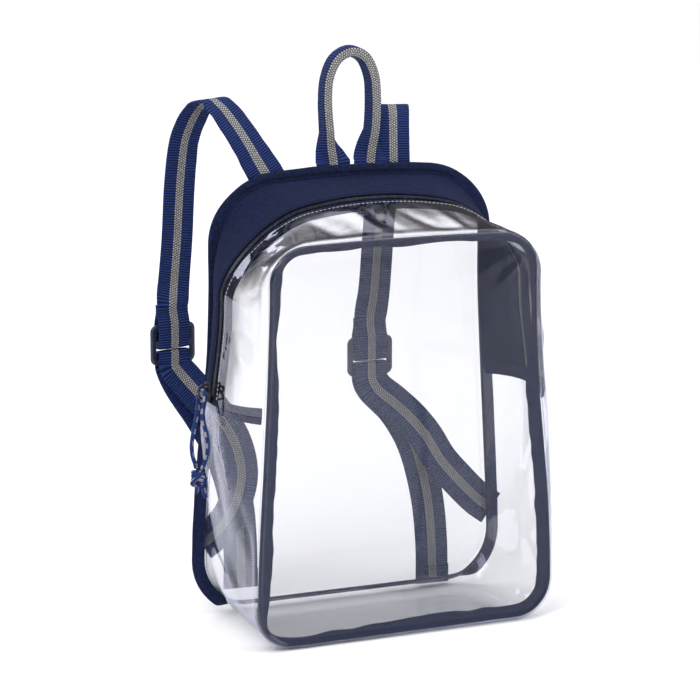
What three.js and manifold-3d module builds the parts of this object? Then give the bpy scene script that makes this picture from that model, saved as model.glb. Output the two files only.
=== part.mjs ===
// Clear stadium backpack: a see-through vinyl bag with navy binding, webbing straps and a top zip.
// Millimetres, +Z up, +X to the right of someone who faces the front, the front faces -Y.
// The origin is on the floor, in the middle of the flat base.

import * as THREE from 'three';
import { mergeVertices } from 'three/addons/utils/BufferGeometryUtils.js';
import Module from 'manifold-3d';

const wasm = await Module();
wasm.setup();

// Driving sizes of the bag
const DEPTH = 97; // between the back seam and the front seam
const PANEL_TOP_WIDTH = 196; // seam to seam, above the flare
const PANEL_BASE_WIDTH = 219; // seam to seam, at the base
const BACK_HEIGHT = 300; // back seam at the middle of the top
const FRONT_HEIGHT = 272; // front seam at the middle of the top
const ZIP_HEIGHT = 291; // zip at the middle of the top
const BACK_LIFT = 7; // back seam above the floor
const FRONT_LIFT = 1.5; // front seam above the floor
const FLARE_LOW = 30; // the sides are widest below this height
const FLARE_HIGH = 235; // and narrowest above this one
const SIDE_SEAM_HEIGHT = 159; // where the upper gussets meet the lower one
const ZIP_SHARE = 0.42; // how far forward of the back seam the zip lies, of the depth
const SIDE_SWELL = 14; // the gusset stands out beyond the panels at the zip
const BELLY = 9.5; // and that much more at half height
const FLOOR_PRESS = 3; // how far the slack base would hang below the floor
const PILLOW = 2.8; // how sharply the gusset turns into its seams
const FRONT_BULGE = 5; // crown of the front panel
const BACK_LEAN = 2.5; // the top of the back panel has slumped this far to the right
const FRONT_LEAN = -2; // and the top of the front panel this far to the left
const LEAN_LOW = 70; // upright below this height
const LEAN_HIGH = 200; // and all the way over above this one

// Corner radii of the outlines
const BACK_CORNER_TOP = 41;
const BACK_CORNER_BASE = 34;
const ZIP_CORNER_TOP = 62;
const ZIP_CORNER_BASE = 42;
const FRONT_CORNER_TOP = 26;
const FRONT_CORNER_BASE = 27;
const BACK_ARCH = 6; // drop of the top line at its ends
const ZIP_ARCH = 24;
const FRONT_ARCH = 2;

// Sheets, tapes and clearances
const VINYL = 1; // wall of the clear panels and gussets
const CLOTH = 1; // wall of the navy gusset
const GAP = 0.3; // between pieces that touch
const FLANGE_WIDTH = 8; // bound edge that stands out at the back seam
const FLANGE_THICKNESS = 2.5;
const FLANGE_SPLAY = THREE.MathUtils.degToRad(80); // it bends back where the bag stands on it
const SPLAY_START = 0.75; // share of the downward normal where that bend starts
const SEAM_TAPE_WIDTH = 8;
const SEAM_TAPE_INSET = 2; // from the front seam to its tape
const SEAM_TAPE_THICKNESS = 1.5;
const SIDE_TAPE_WIDTH = 10;

// Zip
const COIL_WIDTH = 4.4;
const COIL_HEIGHT = 2.4;
const TAPE_THICKNESS = 1;
const TAPE_REACH = 16; // from the middle of the coil to the tape's edge
const FRONT_EDGE_REACH = 7; // from the middle of the coil to the vinyl's edge
const REAR_EDGE_REACH = 4; // from the middle of the coil to the fabric's edge

// Webbing
const WEB_WIDTH = 25;
const WEB_THICKNESS = 1.5;

// Three-bar strap slider, measured from the middle of its centre bar
const BAR_HEIGHT = 4;
const BAR_THICKNESS = 3;
const UPPER_SLOT = 7.5;
const LOWER_SLOT = 8.5;
const SIDE_BAR = 4;
const SLOT_SIDE_GAP = 1.2;
const SLIDER_DRIFT = -0.5; // the slider hangs this far to the side of its webbing
const SLIDER_CORNER = 5;

// Zip slider and its cord
const ZIP_SLIDER = { long: 14, wide: 9, thick: 3.5 };
const BAIL_WIRE = 1.6;
const BAIL_RISE = 5.8;
const BAIL_LONG = 11;
const CORD_DIAMETER = 3;
const CORD_SIDES = 8;
const KNOT_RADIUS = 3.4;
const KNOT_TUBE = 2.6;

// How many stations each stretch of a half outline has, and the share of the half where it ends
const STRETCHES = [
  { name: 'base', ends: 0.16, steps: 4 },
  { name: 'baseCorner', ends: 0.26, steps: 6 },
  { name: 'lowerSide', ends: 0.46, steps: 6 },
  { name: 'upperSide', ends: 0.64, steps: 5 },
  { name: 'topCorner', ends: 0.8, steps: 7 },
  { name: 'top', ends: 1, steps: 5 },
];
const SIDE_SEAM = STRETCHES[2].ends;
const SHOULDER = STRETCHES[3].ends;

// The three outlines that the gusset passes through
const SECTIONS = {
  back: {
    y: DEPTH / 2, lift: BACK_LIFT, top: BACK_HEIGHT, arch: BACK_ARCH,
    halfTop: PANEL_TOP_WIDTH / 2, halfBase: PANEL_BASE_WIDTH / 2, belly: 0, lean: BACK_LEAN,
    cornerTop: BACK_CORNER_TOP, cornerBase: BACK_CORNER_BASE,
  },
  zip: {
    y: DEPTH * (0.5 - ZIP_SHARE), lift: -FLOOR_PRESS, top: ZIP_HEIGHT, arch: ZIP_ARCH,
    halfTop: PANEL_TOP_WIDTH / 2 + SIDE_SWELL, halfBase: PANEL_BASE_WIDTH / 2, belly: BELLY, lean: 0,
    cornerTop: ZIP_CORNER_TOP, cornerBase: ZIP_CORNER_BASE,
  },
  front: {
    y: -DEPTH / 2, lift: FRONT_LIFT, top: FRONT_HEIGHT, arch: FRONT_ARCH,
    halfTop: PANEL_TOP_WIDTH / 2, halfBase: PANEL_BASE_WIDTH / 2, belly: 0, lean: FRONT_LEAN,
    cornerTop: FRONT_CORNER_TOP, cornerBase: FRONT_CORNER_BASE,
  },
};

// Dents of the clear top: where along the half outline and the depth, how far they reach, how deep
const DENTS = [
  { side: -1, half: 0.93, share: 0.82, along: 0.035, across: 0.1, depth: 4 },
  { side: -1, half: 0.76, share: 0.8, along: 0.04, across: 0.12, depth: 3 },
  { side: 1, half: 0.88, share: 0.8, along: 0.04, across: 0.12, depth: 4 },
  { side: 1, half: 0.7, share: 0.78, along: 0.035, across: 0.12, depth: 3 },
];

const { lerp, clamp, degToRad, smoothstep } = THREE.MathUtils;

// Point of one section's half outline, from the middle of the base (0) to the middle of the top (1)
function halfOutline(section, half) {
  const lowerEnd = section.lift + section.cornerBase;
  const upperStart = section.top - section.cornerTop;
  const widthAt = (z) => {
    const flare = 1 - smoothstep(z, FLARE_LOW, FLARE_HIGH);
    const up = clamp((z - lowerEnd) / (upperStart - lowerEnd), 0, 1);
    return lerp(section.halfTop, section.halfBase, flare) + section.belly * Math.sin(Math.PI * up) ** 2;
  };
  let start = 0;
  let index = 0;
  while (half > STRETCHES[index].ends && index < STRETCHES.length - 1) {
    start = STRETCHES[index].ends;
    index += 1;
  }
  const share = clamp((half - start) / (STRETCHES[index].ends - start), 0, 1);
  const turn = share * Math.PI / 2;
  const baseHalf = widthAt(lowerEnd);
  const topHalf = widthAt(upperStart);
  switch (STRETCHES[index].name) {
    case 'base':
      return { x: share * (baseHalf - section.cornerBase), z: section.lift };
    case 'baseCorner':
      return {
        x: baseHalf - section.cornerBase * (1 - Math.sin(turn)),
        z: lowerEnd - section.cornerBase * Math.cos(turn),
      };
    case 'lowerSide': {
      const z = lerp(lowerEnd, SIDE_SEAM_HEIGHT, share);
      return { x: widthAt(z), z };
    }
    case 'upperSide': {
      const z = lerp(SIDE_SEAM_HEIGHT, upperStart, share);
      return { x: widthAt(z), z };
    }
    case 'topCorner': {
      const x = topHalf - section.cornerTop * (1 - Math.cos(turn));
      const fall = section.arch * (x / topHalf) ** 2 * Math.sin(turn);
      return { x, z: upperStart + section.cornerTop * Math.sin(turn) - fall };
    }
    default: {
      const x = (1 - share) * (topHalf - section.cornerTop);
      return { x, z: section.top - section.arch * (x / topHalf) ** 2 };
    }
  }
}

// Shares of the half outline at the stations between two shares, both kept
function halfStations(from, to) {
  const found = [from];
  let start = 0;
  for (const { ends, steps } of STRETCHES) {
    for (let k = 1; k <= steps; k += 1) {
      const half = lerp(start, ends, k / steps);
      if (half > from + 1e-3 && half < to - 1e-3) {
        found.push(half);
      }
    }
    start = ends;
  }
  found.push(to);
  return found;
}

// Stations as { side, half } over the top, from the left side at one share to the right side at it
function overTop(from) {
  const halves = halfStations(from, 1);
  const left = halves.map((half) => ({ side: -1, half }));
  const right = halves.slice(0, -1).reverse().map((half) => ({ side: 1, half }));
  return [...left, ...right];
}

// Stations under the base, from the left side at one share to the right side at it
function underBase(to) {
  const halves = halfStations(0, to);
  const left = halves.slice(1).reverse().map((half) => ({ side: -1, half }));
  const right = halves.map((half) => ({ side: 1, half }));
  return [...left, ...right];
}

// Stations of the whole loop, each once
function allRound() {
  const halves = halfStations(0, 1);
  const left = halves.map((half) => ({ side: -1, half }));
  const right = halves.slice(1, -1).reverse().map((half) => ({ side: 1, half }));
  return [...left, ...right];
}

// How far a section has slumped sideways at a height
function leanAt(section, z) {
  return section.lean * smoothstep(z, LEAN_LOW, LEAN_HIGH);
}

// Slack surface of the gusset before the floor presses it flat; share 0 is the back seam, 1 the front
function slackPoint({ side, half }, share) {
  const back = halfOutline(SECTIONS.back, half);
  const zip = halfOutline(SECTIONS.zip, half);
  const front = halfOutline(SECTIONS.front, half);
  const reach = share < ZIP_SHARE
    ? 1 - ((ZIP_SHARE - share) / ZIP_SHARE) ** PILLOW
    : 1 - ((share - ZIP_SHARE) / (1 - ZIP_SHARE)) ** PILLOW;
  const x = lerp(back.x, front.x, share) + (zip.x - lerp(back.x, front.x, ZIP_SHARE)) * reach;
  const z = lerp(back.z, front.z, share) + (zip.z - lerp(back.z, front.z, ZIP_SHARE)) * reach;
  const lean = lerp(leanAt(SECTIONS.back, back.z), leanAt(SECTIONS.front, front.z), share);
  return new THREE.Vector3(side * x + lean, lerp(SECTIONS.back.y, SECTIONS.front.y, share), z);
}

// Outward unit normal of the slack surface, and how many millimetres one share of the depth is
function surfaceFrame(station, share) {
  const step = 1e-3;
  const low = slackPoint({ ...station, half: Math.max(station.half - step, 0) }, share);
  const high = slackPoint({ ...station, half: Math.min(station.half + step, 1) }, share);
  const near = slackPoint(station, Math.max(share - step, 0));
  const far = slackPoint(station, Math.min(share + step, 1));
  const along = high.sub(low).multiplyScalar(station.side);
  const forward = far.sub(near);
  const reach = forward.length() / (Math.min(share + step, 1) - Math.max(share - step, 0));
  const normal = along.cross(forward).normalize();
  return { normal, reach };
}

// Depth of the dents at a place of the clear top
function dentDepth({ side, half }, share) {
  let depth = 0;
  for (const dent of DENTS) {
    if (dent.side === side) {
      const away = ((half - dent.half) / dent.along) ** 2 + ((share - dent.share) / dent.across) ** 2;
      depth += dent.depth * Math.exp(-away);
    }
  }
  return depth;
}

// Point at an offset from the gusset's outer face, outward positive, pressed flat by the floor and
// kept between the panels
function bagPoint(station, share, offset, dented = false) {
  const { normal } = surfaceFrame(station, share);
  const dent = dented ? dentDepth(station, share) : 0;
  const point = slackPoint(station, share).addScaledVector(normal, offset - dent);
  point.z = Math.max(point.z, -offset);
  point.y = clamp(point.y, SECTIONS.front.y + VINYL + GAP, SECTIONS.back.y);
  return point;
}

// Share of the depth that lies some millimetres forward of the zip
function zipShare(station, forward) {
  return ZIP_SHARE + forward / surfaceFrame(station, ZIP_SHARE).reach;
}

// Closed geometry from points and triangles, turned so that its faces point out
function closedGeometry(points, triangles) {
  let volume = 0;
  for (const [a, b, c] of triangles) {
    volume += points[a].dot(points[b].clone().cross(points[c]));
  }
  const positions = points.flatMap((p) => [p.x, p.y, p.z]);
  const index = triangles.flatMap(([a, b, c]) => (volume < 0 ? [a, c, b] : [a, b, c]));
  const geometry = new THREE.BufferGeometry();
  geometry.setAttribute('position', new THREE.Float32BufferAttribute(positions, 3));
  geometry.setIndex(index);
  return geometry;
}

// Skin over rings of points. Each ring goes out along one face and back along the other, so that
// point k faces point 2m - 1 - k across the wall. The ends are closed unless the rings make a loop.
function loft(rings, looped = false) {
  const count = rings[0].length;
  const points = rings.flat();
  const triangles = [];
  const quad = (a, b, c, d) => triangles.push([a, b, c], [a, c, d]);
  const last = looped ? rings.length : rings.length - 1;
  for (let i = 0; i < last; i += 1) {
    const here = i * count;
    const next = ((i + 1) % rings.length) * count;
    for (let k = 0; k < count; k += 1) {
      const m = (k + 1) % count;
      quad(here + k, here + m, next + m, next + k);
    }
  }
  if (!looped) {
    const end = (rings.length - 1) * count;
    for (let k = 0; k < count / 2 - 1; k += 1) {
      quad(k, count - 1 - k, count - 2 - k, k + 1);
      quad(end + k, end + k + 1, end + count - 2 - k, end + count - 1 - k);
    }
  }
  return closedGeometry(points, triangles);
}

// Even shares from one to another, both kept
function spread(from, to, steps) {
  return Array.from({ length: steps + 1 }, (_, k) => lerp(from, to, k / steps));
}

// Wall that follows the gusset through the shares of the depth that a function gives for a station
function gussetWall(stations, { shares, outer, thickness, dented = false }) {
  const rings = stations.map((station) => {
    const across = shares(station);
    const outside = across.map((share) => bagPoint(station, share, outer, dented));
    const inside = across.map((share) => bagPoint(station, share, outer - thickness, dented));
    return [...outside, ...inside.reverse()];
  });
  return loft(rings);
}

// In-plane outline of a panel's seam with its outward normal
function seamPoint(section, { side, half }) {
  const step = 1e-3;
  const at = halfOutline(section, half);
  const low = halfOutline(section, Math.max(half - step, 0));
  const high = halfOutline(section, Math.min(half + step, 1));
  const along = new THREE.Vector2(high.x - low.x, high.z - low.z).normalize();
  return { x: side * at.x + leanAt(section, at.z), z: at.z, nx: side * along.y, nz: -along.x };
}

// Panel: a sheet inside a seam outline, crowned away from the bag
function panelGeometry(section, { inset, face, thickness, crown }) {
  const levels = crown === 0 ? [1] : [1, 0.86, 0.62, 0.32];
  const centre = section.lift + (section.top - section.lift) / 2;
  const rim = allRound().map((station) => {
    const p = seamPoint(section, station);
    return { x: p.x - p.nx * inset, z: p.z - p.nz * inset - centre };
  });
  const count = rim.length;
  const points = [];
  const triangles = [];
  const layer = (y, sign) => {
    const base = points.length;
    for (const level of levels) {
      const rise = crown * (1 - level ** 2);
      rim.forEach((p) => points.push(new THREE.Vector3(p.x * level, y - rise, p.z * level + centre)));
    }
    points.push(new THREE.Vector3(0, y - crown, centre));
    const add = (a, b, c) => triangles.push(sign > 0 ? [a, b, c] : [a, c, b]);
    for (let r = 0; r < levels.length - 1; r += 1) {
      for (let k = 0; k < count; k += 1) {
        const a = base + r * count + k;
        const b = base + r * count + ((k + 1) % count);
        add(a, b, b + count);
        add(a, b + count, a + count);
      }
    }
    const inner = base + (levels.length - 1) * count;
    for (let k = 0; k < count; k += 1) {
      add(inner + k, inner + ((k + 1) % count), base + levels.length * count);
    }
    return base;
  };
  const front = layer(face, 1);
  const back = layer(face + thickness, -1);
  for (let k = 0; k < count; k += 1) {
    const m = (k + 1) % count;
    triangles.push([front + k, back + k, back + m], [front + k, back + m, front + m]);
  }
  return closedGeometry(points, triangles);
}

// Flat tape ring along a seam, from one inset to another, inward positive
function seamTape(section, { near, far, face, thickness }) {
  const rings = allRound().map((station) => {
    const p = seamPoint(section, station);
    const place = (inset, y) => new THREE.Vector3(p.x - p.nx * inset, y, p.z - p.nz * inset);
    return [place(near, face), place(far, face), place(far, face + thickness), place(near, face + thickness)];
  });
  return loft(rings, true);
}

// Bound flange outside the back seam, bent back along the floor
function flangeGeometry() {
  const face = SECTIONS.back.y + GAP;
  const rings = allRound().map((station) => {
    const p = seamPoint(SECTIONS.back, station);
    const splay = FLANGE_SPLAY * smoothstep(-p.nz, SPLAY_START, 1);
    const out = new THREE.Vector3(p.nx, 0, p.nz);
    const rear = new THREE.Vector3(0, 1, 0);
    const reach = out.clone().multiplyScalar(Math.cos(splay)).addScaledVector(rear, Math.sin(splay));
    const through = rear.clone().multiplyScalar(Math.cos(splay)).addScaledVector(out, -Math.sin(splay));
    const start = new THREE.Vector3(p.x, face, p.z)
      .addScaledVector(out, GAP + FLANGE_THICKNESS * Math.sin(splay));
    const corner = (along, across) => start.clone().addScaledVector(reach, along).addScaledVector(through, across);
    return [
      corner(0, 0), corner(FLANGE_WIDTH - GAP, 0),
      corner(FLANGE_WIDTH - GAP, FLANGE_THICKNESS), corner(0, FLANGE_THICKNESS),
    ];
  });
  return loft(rings, true);
}

// Direction of the webbing's width from its tilt in the picture plane and its yaw about Z
function widthDirection(tilt, yaw) {
  const flat = Math.cos(degToRad(tilt));
  return new THREE.Vector3(
    Math.cos(degToRad(yaw)) * flat, Math.sin(degToRad(yaw)) * flat, Math.sin(degToRad(tilt)),
  );
}

// Webbing that follows a table of stations, with a few rings in each of its spans
function webbing(rows, { width = WEB_WIDTH, thickness = WEB_THICKNESS, perSpan = 3 } = {}) {
  const curve = new THREE.CatmullRomCurve3(rows.map((row) => row.at), false, 'centripetal');
  const spans = rows.length - 1;
  const rings = [];
  for (let i = 0; i <= spans * perSpan; i += 1) {
    const place = i / perSpan;
    const row = Math.min(Math.floor(place), spans - 1);
    const share = smoothstep(place - row, 0, 1);
    const tilt = lerp(rows[row].tilt, rows[row + 1].tilt, share);
    const yaw = lerp(rows[row].yaw, rows[row + 1].yaw, share);
    const centre = curve.getPoint(place / spans);
    const tangent = curve.getTangent(place / spans);
    const across = widthDirection(tilt, yaw);
    across.addScaledVector(tangent, -across.dot(tangent)).normalize();
    const normal = tangent.clone().cross(across);
    const corner = (a, n) => centre.clone().addScaledVector(across, a).addScaledVector(normal, n);
    const w = width / 2;
    const t = thickness / 2;
    rings.push([corner(-w, -t), corner(w, -t), corner(w, t), corner(-w, t)]);
  }
  return loft(rings);
}

const row = (x, y, z, tilt = 0, yaw = 0) => ({ at: new THREE.Vector3(x, y, z), tilt, yaw });

// Middle of webbing that lies on a bar of the slider, and on the back of the bound flange
const LAYER = BAR_THICKNESS / 2 + 2 * GAP + WEB_THICKNESS / 2;
const TURN = BAR_HEIGHT / 2 + GAP + WEB_THICKNESS / 2;
const BEND = 0.9; // share of both where the webbing rounds a bar's edge
const SEWN_Y = SECTIONS.back.y + GAP + FLANGE_THICKNESS + GAP + WEB_THICKNESS / 2;
const TOP_BAR = BAR_HEIGHT / 2 + UPPER_SLOT + BAR_HEIGHT / 2;
const BOTTOM_BAR = BAR_HEIGHT / 2 + LOWER_SLOT + BAR_HEIGHT / 2;
const PLY = (WEB_THICKNESS + GAP) / 2;
const SEWN_LOOP = 27; // height of the sewn end above the slider's centre bar

// Station at a depth and height beside the slider's centre bar, turned with the slider
function sliderRow({ x, y, z, yaw }, deep, rise) {
  const turn = degToRad(yaw);
  return row(x - deep * Math.sin(turn), y + deep * Math.cos(turn), z + rise, 0, yaw);
}

// Shoulder webbing's end: down the slider's front, round its centre bar and up behind to the seam
const SEWN_LOOP_TABLE = [
  { deep: -PLY, rise: SEWN_LOOP },
  { deep: -PLY, rise: TOP_BAR + 10 },
  { deep: -LAYER, rise: TOP_BAR + 2.5 },
  { deep: -LAYER, rise: 0 },
  { deep: -LAYER * BEND, rise: -TURN * BEND },
  { deep: 0, rise: -TURN },
  { deep: LAYER * BEND, rise: -TURN * BEND },
  { deep: LAYER, rise: 0 },
  { deep: LAYER, rise: TOP_BAR + 2.5 },
  { deep: PLY, rise: TOP_BAR + 10 },
  { deep: PLY, rise: SEWN_LOOP },
];

// Lower webbing over the slider's bottom bar, from the run in front of it to the tail behind it
const BAR_TURN_TABLE = [
  { deep: -LAYER, rise: -BOTTOM_BAR - 3 },
  { deep: -LAYER, rise: -BOTTOM_BAR },
  { deep: -LAYER * BEND, rise: -BOTTOM_BAR + TURN * BEND },
  { deep: 0, rise: -BOTTOM_BAR + TURN },
  { deep: LAYER * BEND, rise: -BOTTOM_BAR + TURN * BEND },
  { deep: LAYER, rise: -BOTTOM_BAR },
  { deep: LAYER, rise: -BOTTOM_BAR - 3 },
];

// Stations behind the sewn plane: one of webbing that hangs from the top of the back seam, and one of
// webbing whose height is taken from the floor
const hung = (x, behind, rise, tilt, yaw) => row(x, SEWN_Y + behind, BACK_HEIGHT + rise, tilt, yaw);
const laid = (x, behind, z, tilt, yaw) => row(x, SEWN_Y + behind, z, tilt, yaw);

// Each shoulder: its slider's centre bar, the webbing above it, the run to the bottom corner, the tail
const SHOULDERS = {
  left: {
    slider: { x: -120.7, y: SEWN_Y + 22.15, z: BACK_HEIGHT - 111, yaw: 13 },
    strap: [
      hung(-56, 0, -3.5, 32),
      hung(-59.8, 0.1, 3.3, 33),
      hung(-65.6, 2.25, 13.8, 35, 12),
      hung(-71.2, 4.15, 24.1, 36, 25),
      hung(-80, 8.15, 39, 33, 32),
      hung(-87.6, 13.15, 50, 18, 34),
      hung(-92.5, 19.15, 54.2, 0, 32),
      hung(-97, 26.65, 48.5, -16, 29),
      hung(-101.6, 31.65, 38.1, -20, 23),
      hung(-105.3, 34.65, 25.7, -14, 18),
      hung(-107.4, 35.65, 10, -7, 14),
      hung(-109.6, 35.15, -10, -3, 13),
      hung(-112.8, 32.15, -42, -2, 13),
      hung(-117.5, 26.65, -71, -1, 13),
    ],
    run: [
      laid(-109, 0, 51, -50),
      laid(-100.5, 0.65, 56.5, -46),
      laid(-84.5, 5.15, 71.5, -32),
      laid(-75.5, 10.15, 95, -2),
      laid(-80, 13.65, 119, 22),
      laid(-93, 16.65, 140, 34, 6),
      laid(-110.5, 18.95, 161, 26, 11),
    ],
    tail: [
      laid(-114.5, 25.65, 159, 22, 11),
      laid(-98, 25.15, 134, 32, 6),
      laid(-84, 22.15, 106, 20),
      laid(-77, 17.15, 76, 5),
      laid(-75.8, 12.65, 44),
      laid(-76.5, 11.15, 14),
    ],
  },
  right: {
    slider: { x: 25.3, y: SEWN_Y + 18.15, z: BACK_HEIGHT - 130.5, yaw: 5 },
    strap: [
      hung(36.4, 2.2, -3),
      hung(36.6, 3.8, 13, -2),
      hung(37.4, 6.15, 30, -2),
      hung(38.7, 9.65, 41, -2),
      hung(40.2, 15.15, 44.8, -2),
      hung(41.3, 21.65, 40.5, -2),
      hung(41.8, 25.65, 28, -1),
      hung(40.7, 27.15, 3, 0, 3),
      hung(35.2, 25.15, -45, 0, 5),
      hung(30, 21.65, -88, 0, 5),
    ],
    run: [
      laid(112.5, 0, 54, 58),
      laid(101.5, 0.85, 62.4, 50),
      laid(87.5, 3.15, 77.1, 42),
      laid(75.5, 5.65, 91.5, 34),
      laid(64.5, 8.45, 110, 35),
      laid(54, 10.65, 123, 41),
      laid(41.5, 12.45, 135, 40, 2),
      laid(29, 14.05, 146, 20, 4),
    ],
    tail: [
      laid(28.5, 21.85, 146.5, 12, 4),
      laid(46, 21.25, 128, 32),
      laid(60, 19.15, 103, 20),
      laid(68.8, 15.15, 66, 5),
      laid(70.8, 11.15, 32),
      laid(70.2, 9.15, 1.5),
    ],
  },
};

// Handle: a path in the picture plane, measured up from the top of the back seam, and the size of the
// folded webbing across it and front to back
const HANDLE_LEAN = 2; // how far the top leans back
const HANDLE = [
  { x: -10.3, rise: -2, across: WEB_WIDTH, deep: 1.8 },
  { x: -10.3, rise: 10, across: WEB_WIDTH, deep: 1.8 },
  { x: -12.2, rise: 19.5, across: 16, deep: 4.6 },
  { x: -13.6, rise: 30, across: 7, deep: 9.5 },
  { x: -15.2, rise: 52, across: 4.6, deep: 11 },
  { x: -13.6, rise: 68, across: 4.8, deep: 11.5 },
  { x: -7, rise: 80, across: 5.4, deep: 12 },
  { x: 3, rise: 84.4, across: 5.8, deep: 12.5 },
  { x: 12.5, rise: 80.5, across: 6.4, deep: 12.5 },
  { x: 18.6, rise: 69, across: 7.4, deep: 12.5 },
  { x: 20.3, rise: 52, across: 8, deep: 12.5 },
  { x: 19.7, rise: 31, across: 8.5, deep: 10.5 },
  { x: 18.4, rise: 19.5, across: 17, deep: 5 },
  { x: 17.7, rise: 10, across: WEB_WIDTH, deep: 1.8 },
  { x: 17.7, rise: -2, across: WEB_WIDTH, deep: 1.8 },
];
const HANDLE_Y = SEWN_Y + 0.2;

function handleGeometry() {
  const top = Math.max(...HANDLE.map((p) => p.rise));
  const lean = (rise) => HANDLE_LEAN * smoothstep(rise, 0, top);
  const curve = new THREE.CatmullRomCurve3(
    HANDLE.map((p) => new THREE.Vector3(p.x, HANDLE_Y + lean(p.rise), BACK_HEIGHT + p.rise)), false, 'centripetal',
  );
  const perSpan = 2;
  const spans = HANDLE.length - 1;
  const rings = [];
  for (let i = 0; i <= spans * perSpan; i += 1) {
    const place = i / perSpan;
    const low = Math.min(Math.floor(place), spans - 1);
    const share = smoothstep(place - low, 0, 1);
    const across = lerp(HANDLE[low].across, HANDLE[low + 1].across, share) / 2;
    const deep = lerp(HANDLE[low].deep, HANDLE[low + 1].deep, share) / 2;
    const centre = curve.getPoint(place / spans);
    const tangent = curve.getTangent(place / spans);
    const side = new THREE.Vector3(tangent.z, 0, -tangent.x).normalize();
    const rear = new THREE.Vector3(0, 1, 0);
    const corner = (a, d) => centre.clone().addScaledVector(side, a * across).addScaledVector(rear, d * deep);
    const ease = 0.55;
    rings.push([
      corner(-1, -ease), corner(-ease, -1), corner(ease, -1), corner(1, -ease),
      corner(1, ease), corner(ease, 1), corner(-ease, 1), corner(-1, ease),
    ]);
  }
  return loft(rings);
}

// Rectangle with round corners, as a shape or as a hole
function roundedRectangle(shape, left, bottom, width, height, radius) {
  shape.moveTo(left + radius, bottom);
  shape.lineTo(left + width - radius, bottom);
  shape.absarc(left + width - radius, bottom + radius, radius, -Math.PI / 2, 0, false);
  shape.lineTo(left + width, bottom + height - radius);
  shape.absarc(left + width - radius, bottom + height - radius, radius, 0, Math.PI / 2, false);
  shape.lineTo(left + radius, bottom + height);
  shape.absarc(left + radius, bottom + height - radius, radius, Math.PI / 2, Math.PI, false);
  shape.lineTo(left, bottom + radius);
  shape.absarc(left + radius, bottom + radius, radius, Math.PI, Math.PI * 1.5, false);
  return shape;
}

function strapSliderGeometry() {
  const slot = WEB_WIDTH + 2 * SLOT_SIDE_GAP;
  const width = slot + 2 * SIDE_BAR;
  const bottom = -BOTTOM_BAR - BAR_HEIGHT / 2;
  const height = TOP_BAR + BAR_HEIGHT / 2 - bottom;
  const shape = roundedRectangle(new THREE.Shape(), -width / 2, bottom, width, height, SLIDER_CORNER);
  for (const [low, tall] of [[BAR_HEIGHT / 2, UPPER_SLOT], [-BAR_HEIGHT / 2 - LOWER_SLOT, LOWER_SLOT]]) {
    shape.holes.push(roundedRectangle(new THREE.Path(), -slot / 2, low, slot, tall, 1));
  }
  const geometry = new THREE.ExtrudeGeometry(shape, {
    depth: BAR_THICKNESS, bevelEnabled: false, curveSegments: 3,
  });
  geometry.translate(0, 0, -BAR_THICKNESS / 2);
  geometry.rotateX(Math.PI / 2);
  return geometry;
}

// Solids for joining and cutting
function toSolid(geometry) {
  const bare = geometry.clone();
  bare.deleteAttribute('normal');
  bare.deleteAttribute('uv');
  const merged = mergeVertices(bare, 1e-4);
  return new wasm.Manifold(new wasm.Mesh({
    numProp: 3,
    vertProperties: Float32Array.from(merged.attributes.position.array),
    triVerts: Uint32Array.from(merged.index.array),
  }));
}

function toGeometry(solid) {
  const mesh = solid.getMesh();
  const geometry = new THREE.BufferGeometry();
  geometry.setAttribute('position', new THREE.BufferAttribute(Float32Array.from(mesh.vertProperties), 3));
  geometry.setIndex(new THREE.BufferAttribute(Uint32Array.from(mesh.triVerts), 1));
  return geometry;
}

// Tube of a few sides along a curve
function tube(curve, radius, sides, steps) {
  const shape = new THREE.Shape();
  for (let k = 0; k < sides; k += 1) {
    const angle = k / sides * Math.PI * 2;
    const draw = k === 0 ? 'moveTo' : 'lineTo';
    shape[draw](Math.cos(angle) * radius, Math.sin(angle) * radius);
  }
  shape.closePath();
  return new THREE.ExtrudeGeometry(shape, { steps, bevelEnabled: false, extrudePath: curve });
}

// Zip slider: it stands on the coil at the left end, with a bail for the cord
const ZIP_END = { side: -1, half: SIDE_SEAM + 0.022 };
const SLIDER_SEAT = bagPoint(ZIP_END, ZIP_SHARE, COIL_HEIGHT - TAPE_THICKNESS - VINYL + GAP);
const BODY_X = SLIDER_SEAT.x - ZIP_SLIDER.thick / 2 - GAP * 2;
const BAIL_X = BODY_X - ZIP_SLIDER.thick / 2;

function zipSliderGeometry() {
  const plate = new THREE.Shape();
  const { long, wide, thick } = ZIP_SLIDER;
  plate.moveTo(-wide * 0.35, -long / 2);
  plate.lineTo(wide * 0.35, -long / 2);
  plate.lineTo(wide / 2, -long * 0.1);
  plate.lineTo(wide / 2, long * 0.3);
  plate.lineTo(wide * 0.2, long / 2);
  plate.lineTo(-wide * 0.2, long / 2);
  plate.lineTo(-wide / 2, long * 0.3);
  plate.lineTo(-wide / 2, -long * 0.1);
  plate.closePath();
  const body = new THREE.ExtrudeGeometry(plate, {
    depth: thick - 1, bevelEnabled: true, bevelThickness: 0.5, bevelSize: 0.5, bevelOffset: -0.5, bevelSegments: 1,
  });
  body.translate(0, 0, -(thick - 1) / 2);
  body.rotateX(Math.PI / 2);
  body.rotateZ(Math.PI / 2);
  const root = thick / 2 - 0.6;
  const bail = new THREE.CatmullRomCurve3([
    new THREE.Vector3(-root, 0, -BAIL_LONG / 2),
    new THREE.Vector3(-root - BAIL_RISE * 0.75, 0, -BAIL_LONG / 2 + 0.6),
    new THREE.Vector3(-root - BAIL_RISE, 0, 0),
    new THREE.Vector3(-root - BAIL_RISE * 0.75, 0, BAIL_LONG / 2 - 0.6),
    new THREE.Vector3(-root, 0, BAIL_LONG / 2),
  ]);
  return toGeometry(toSolid(body).add(toSolid(tube(bail, BAIL_WIRE / 2, 6, 12))));
}

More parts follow.
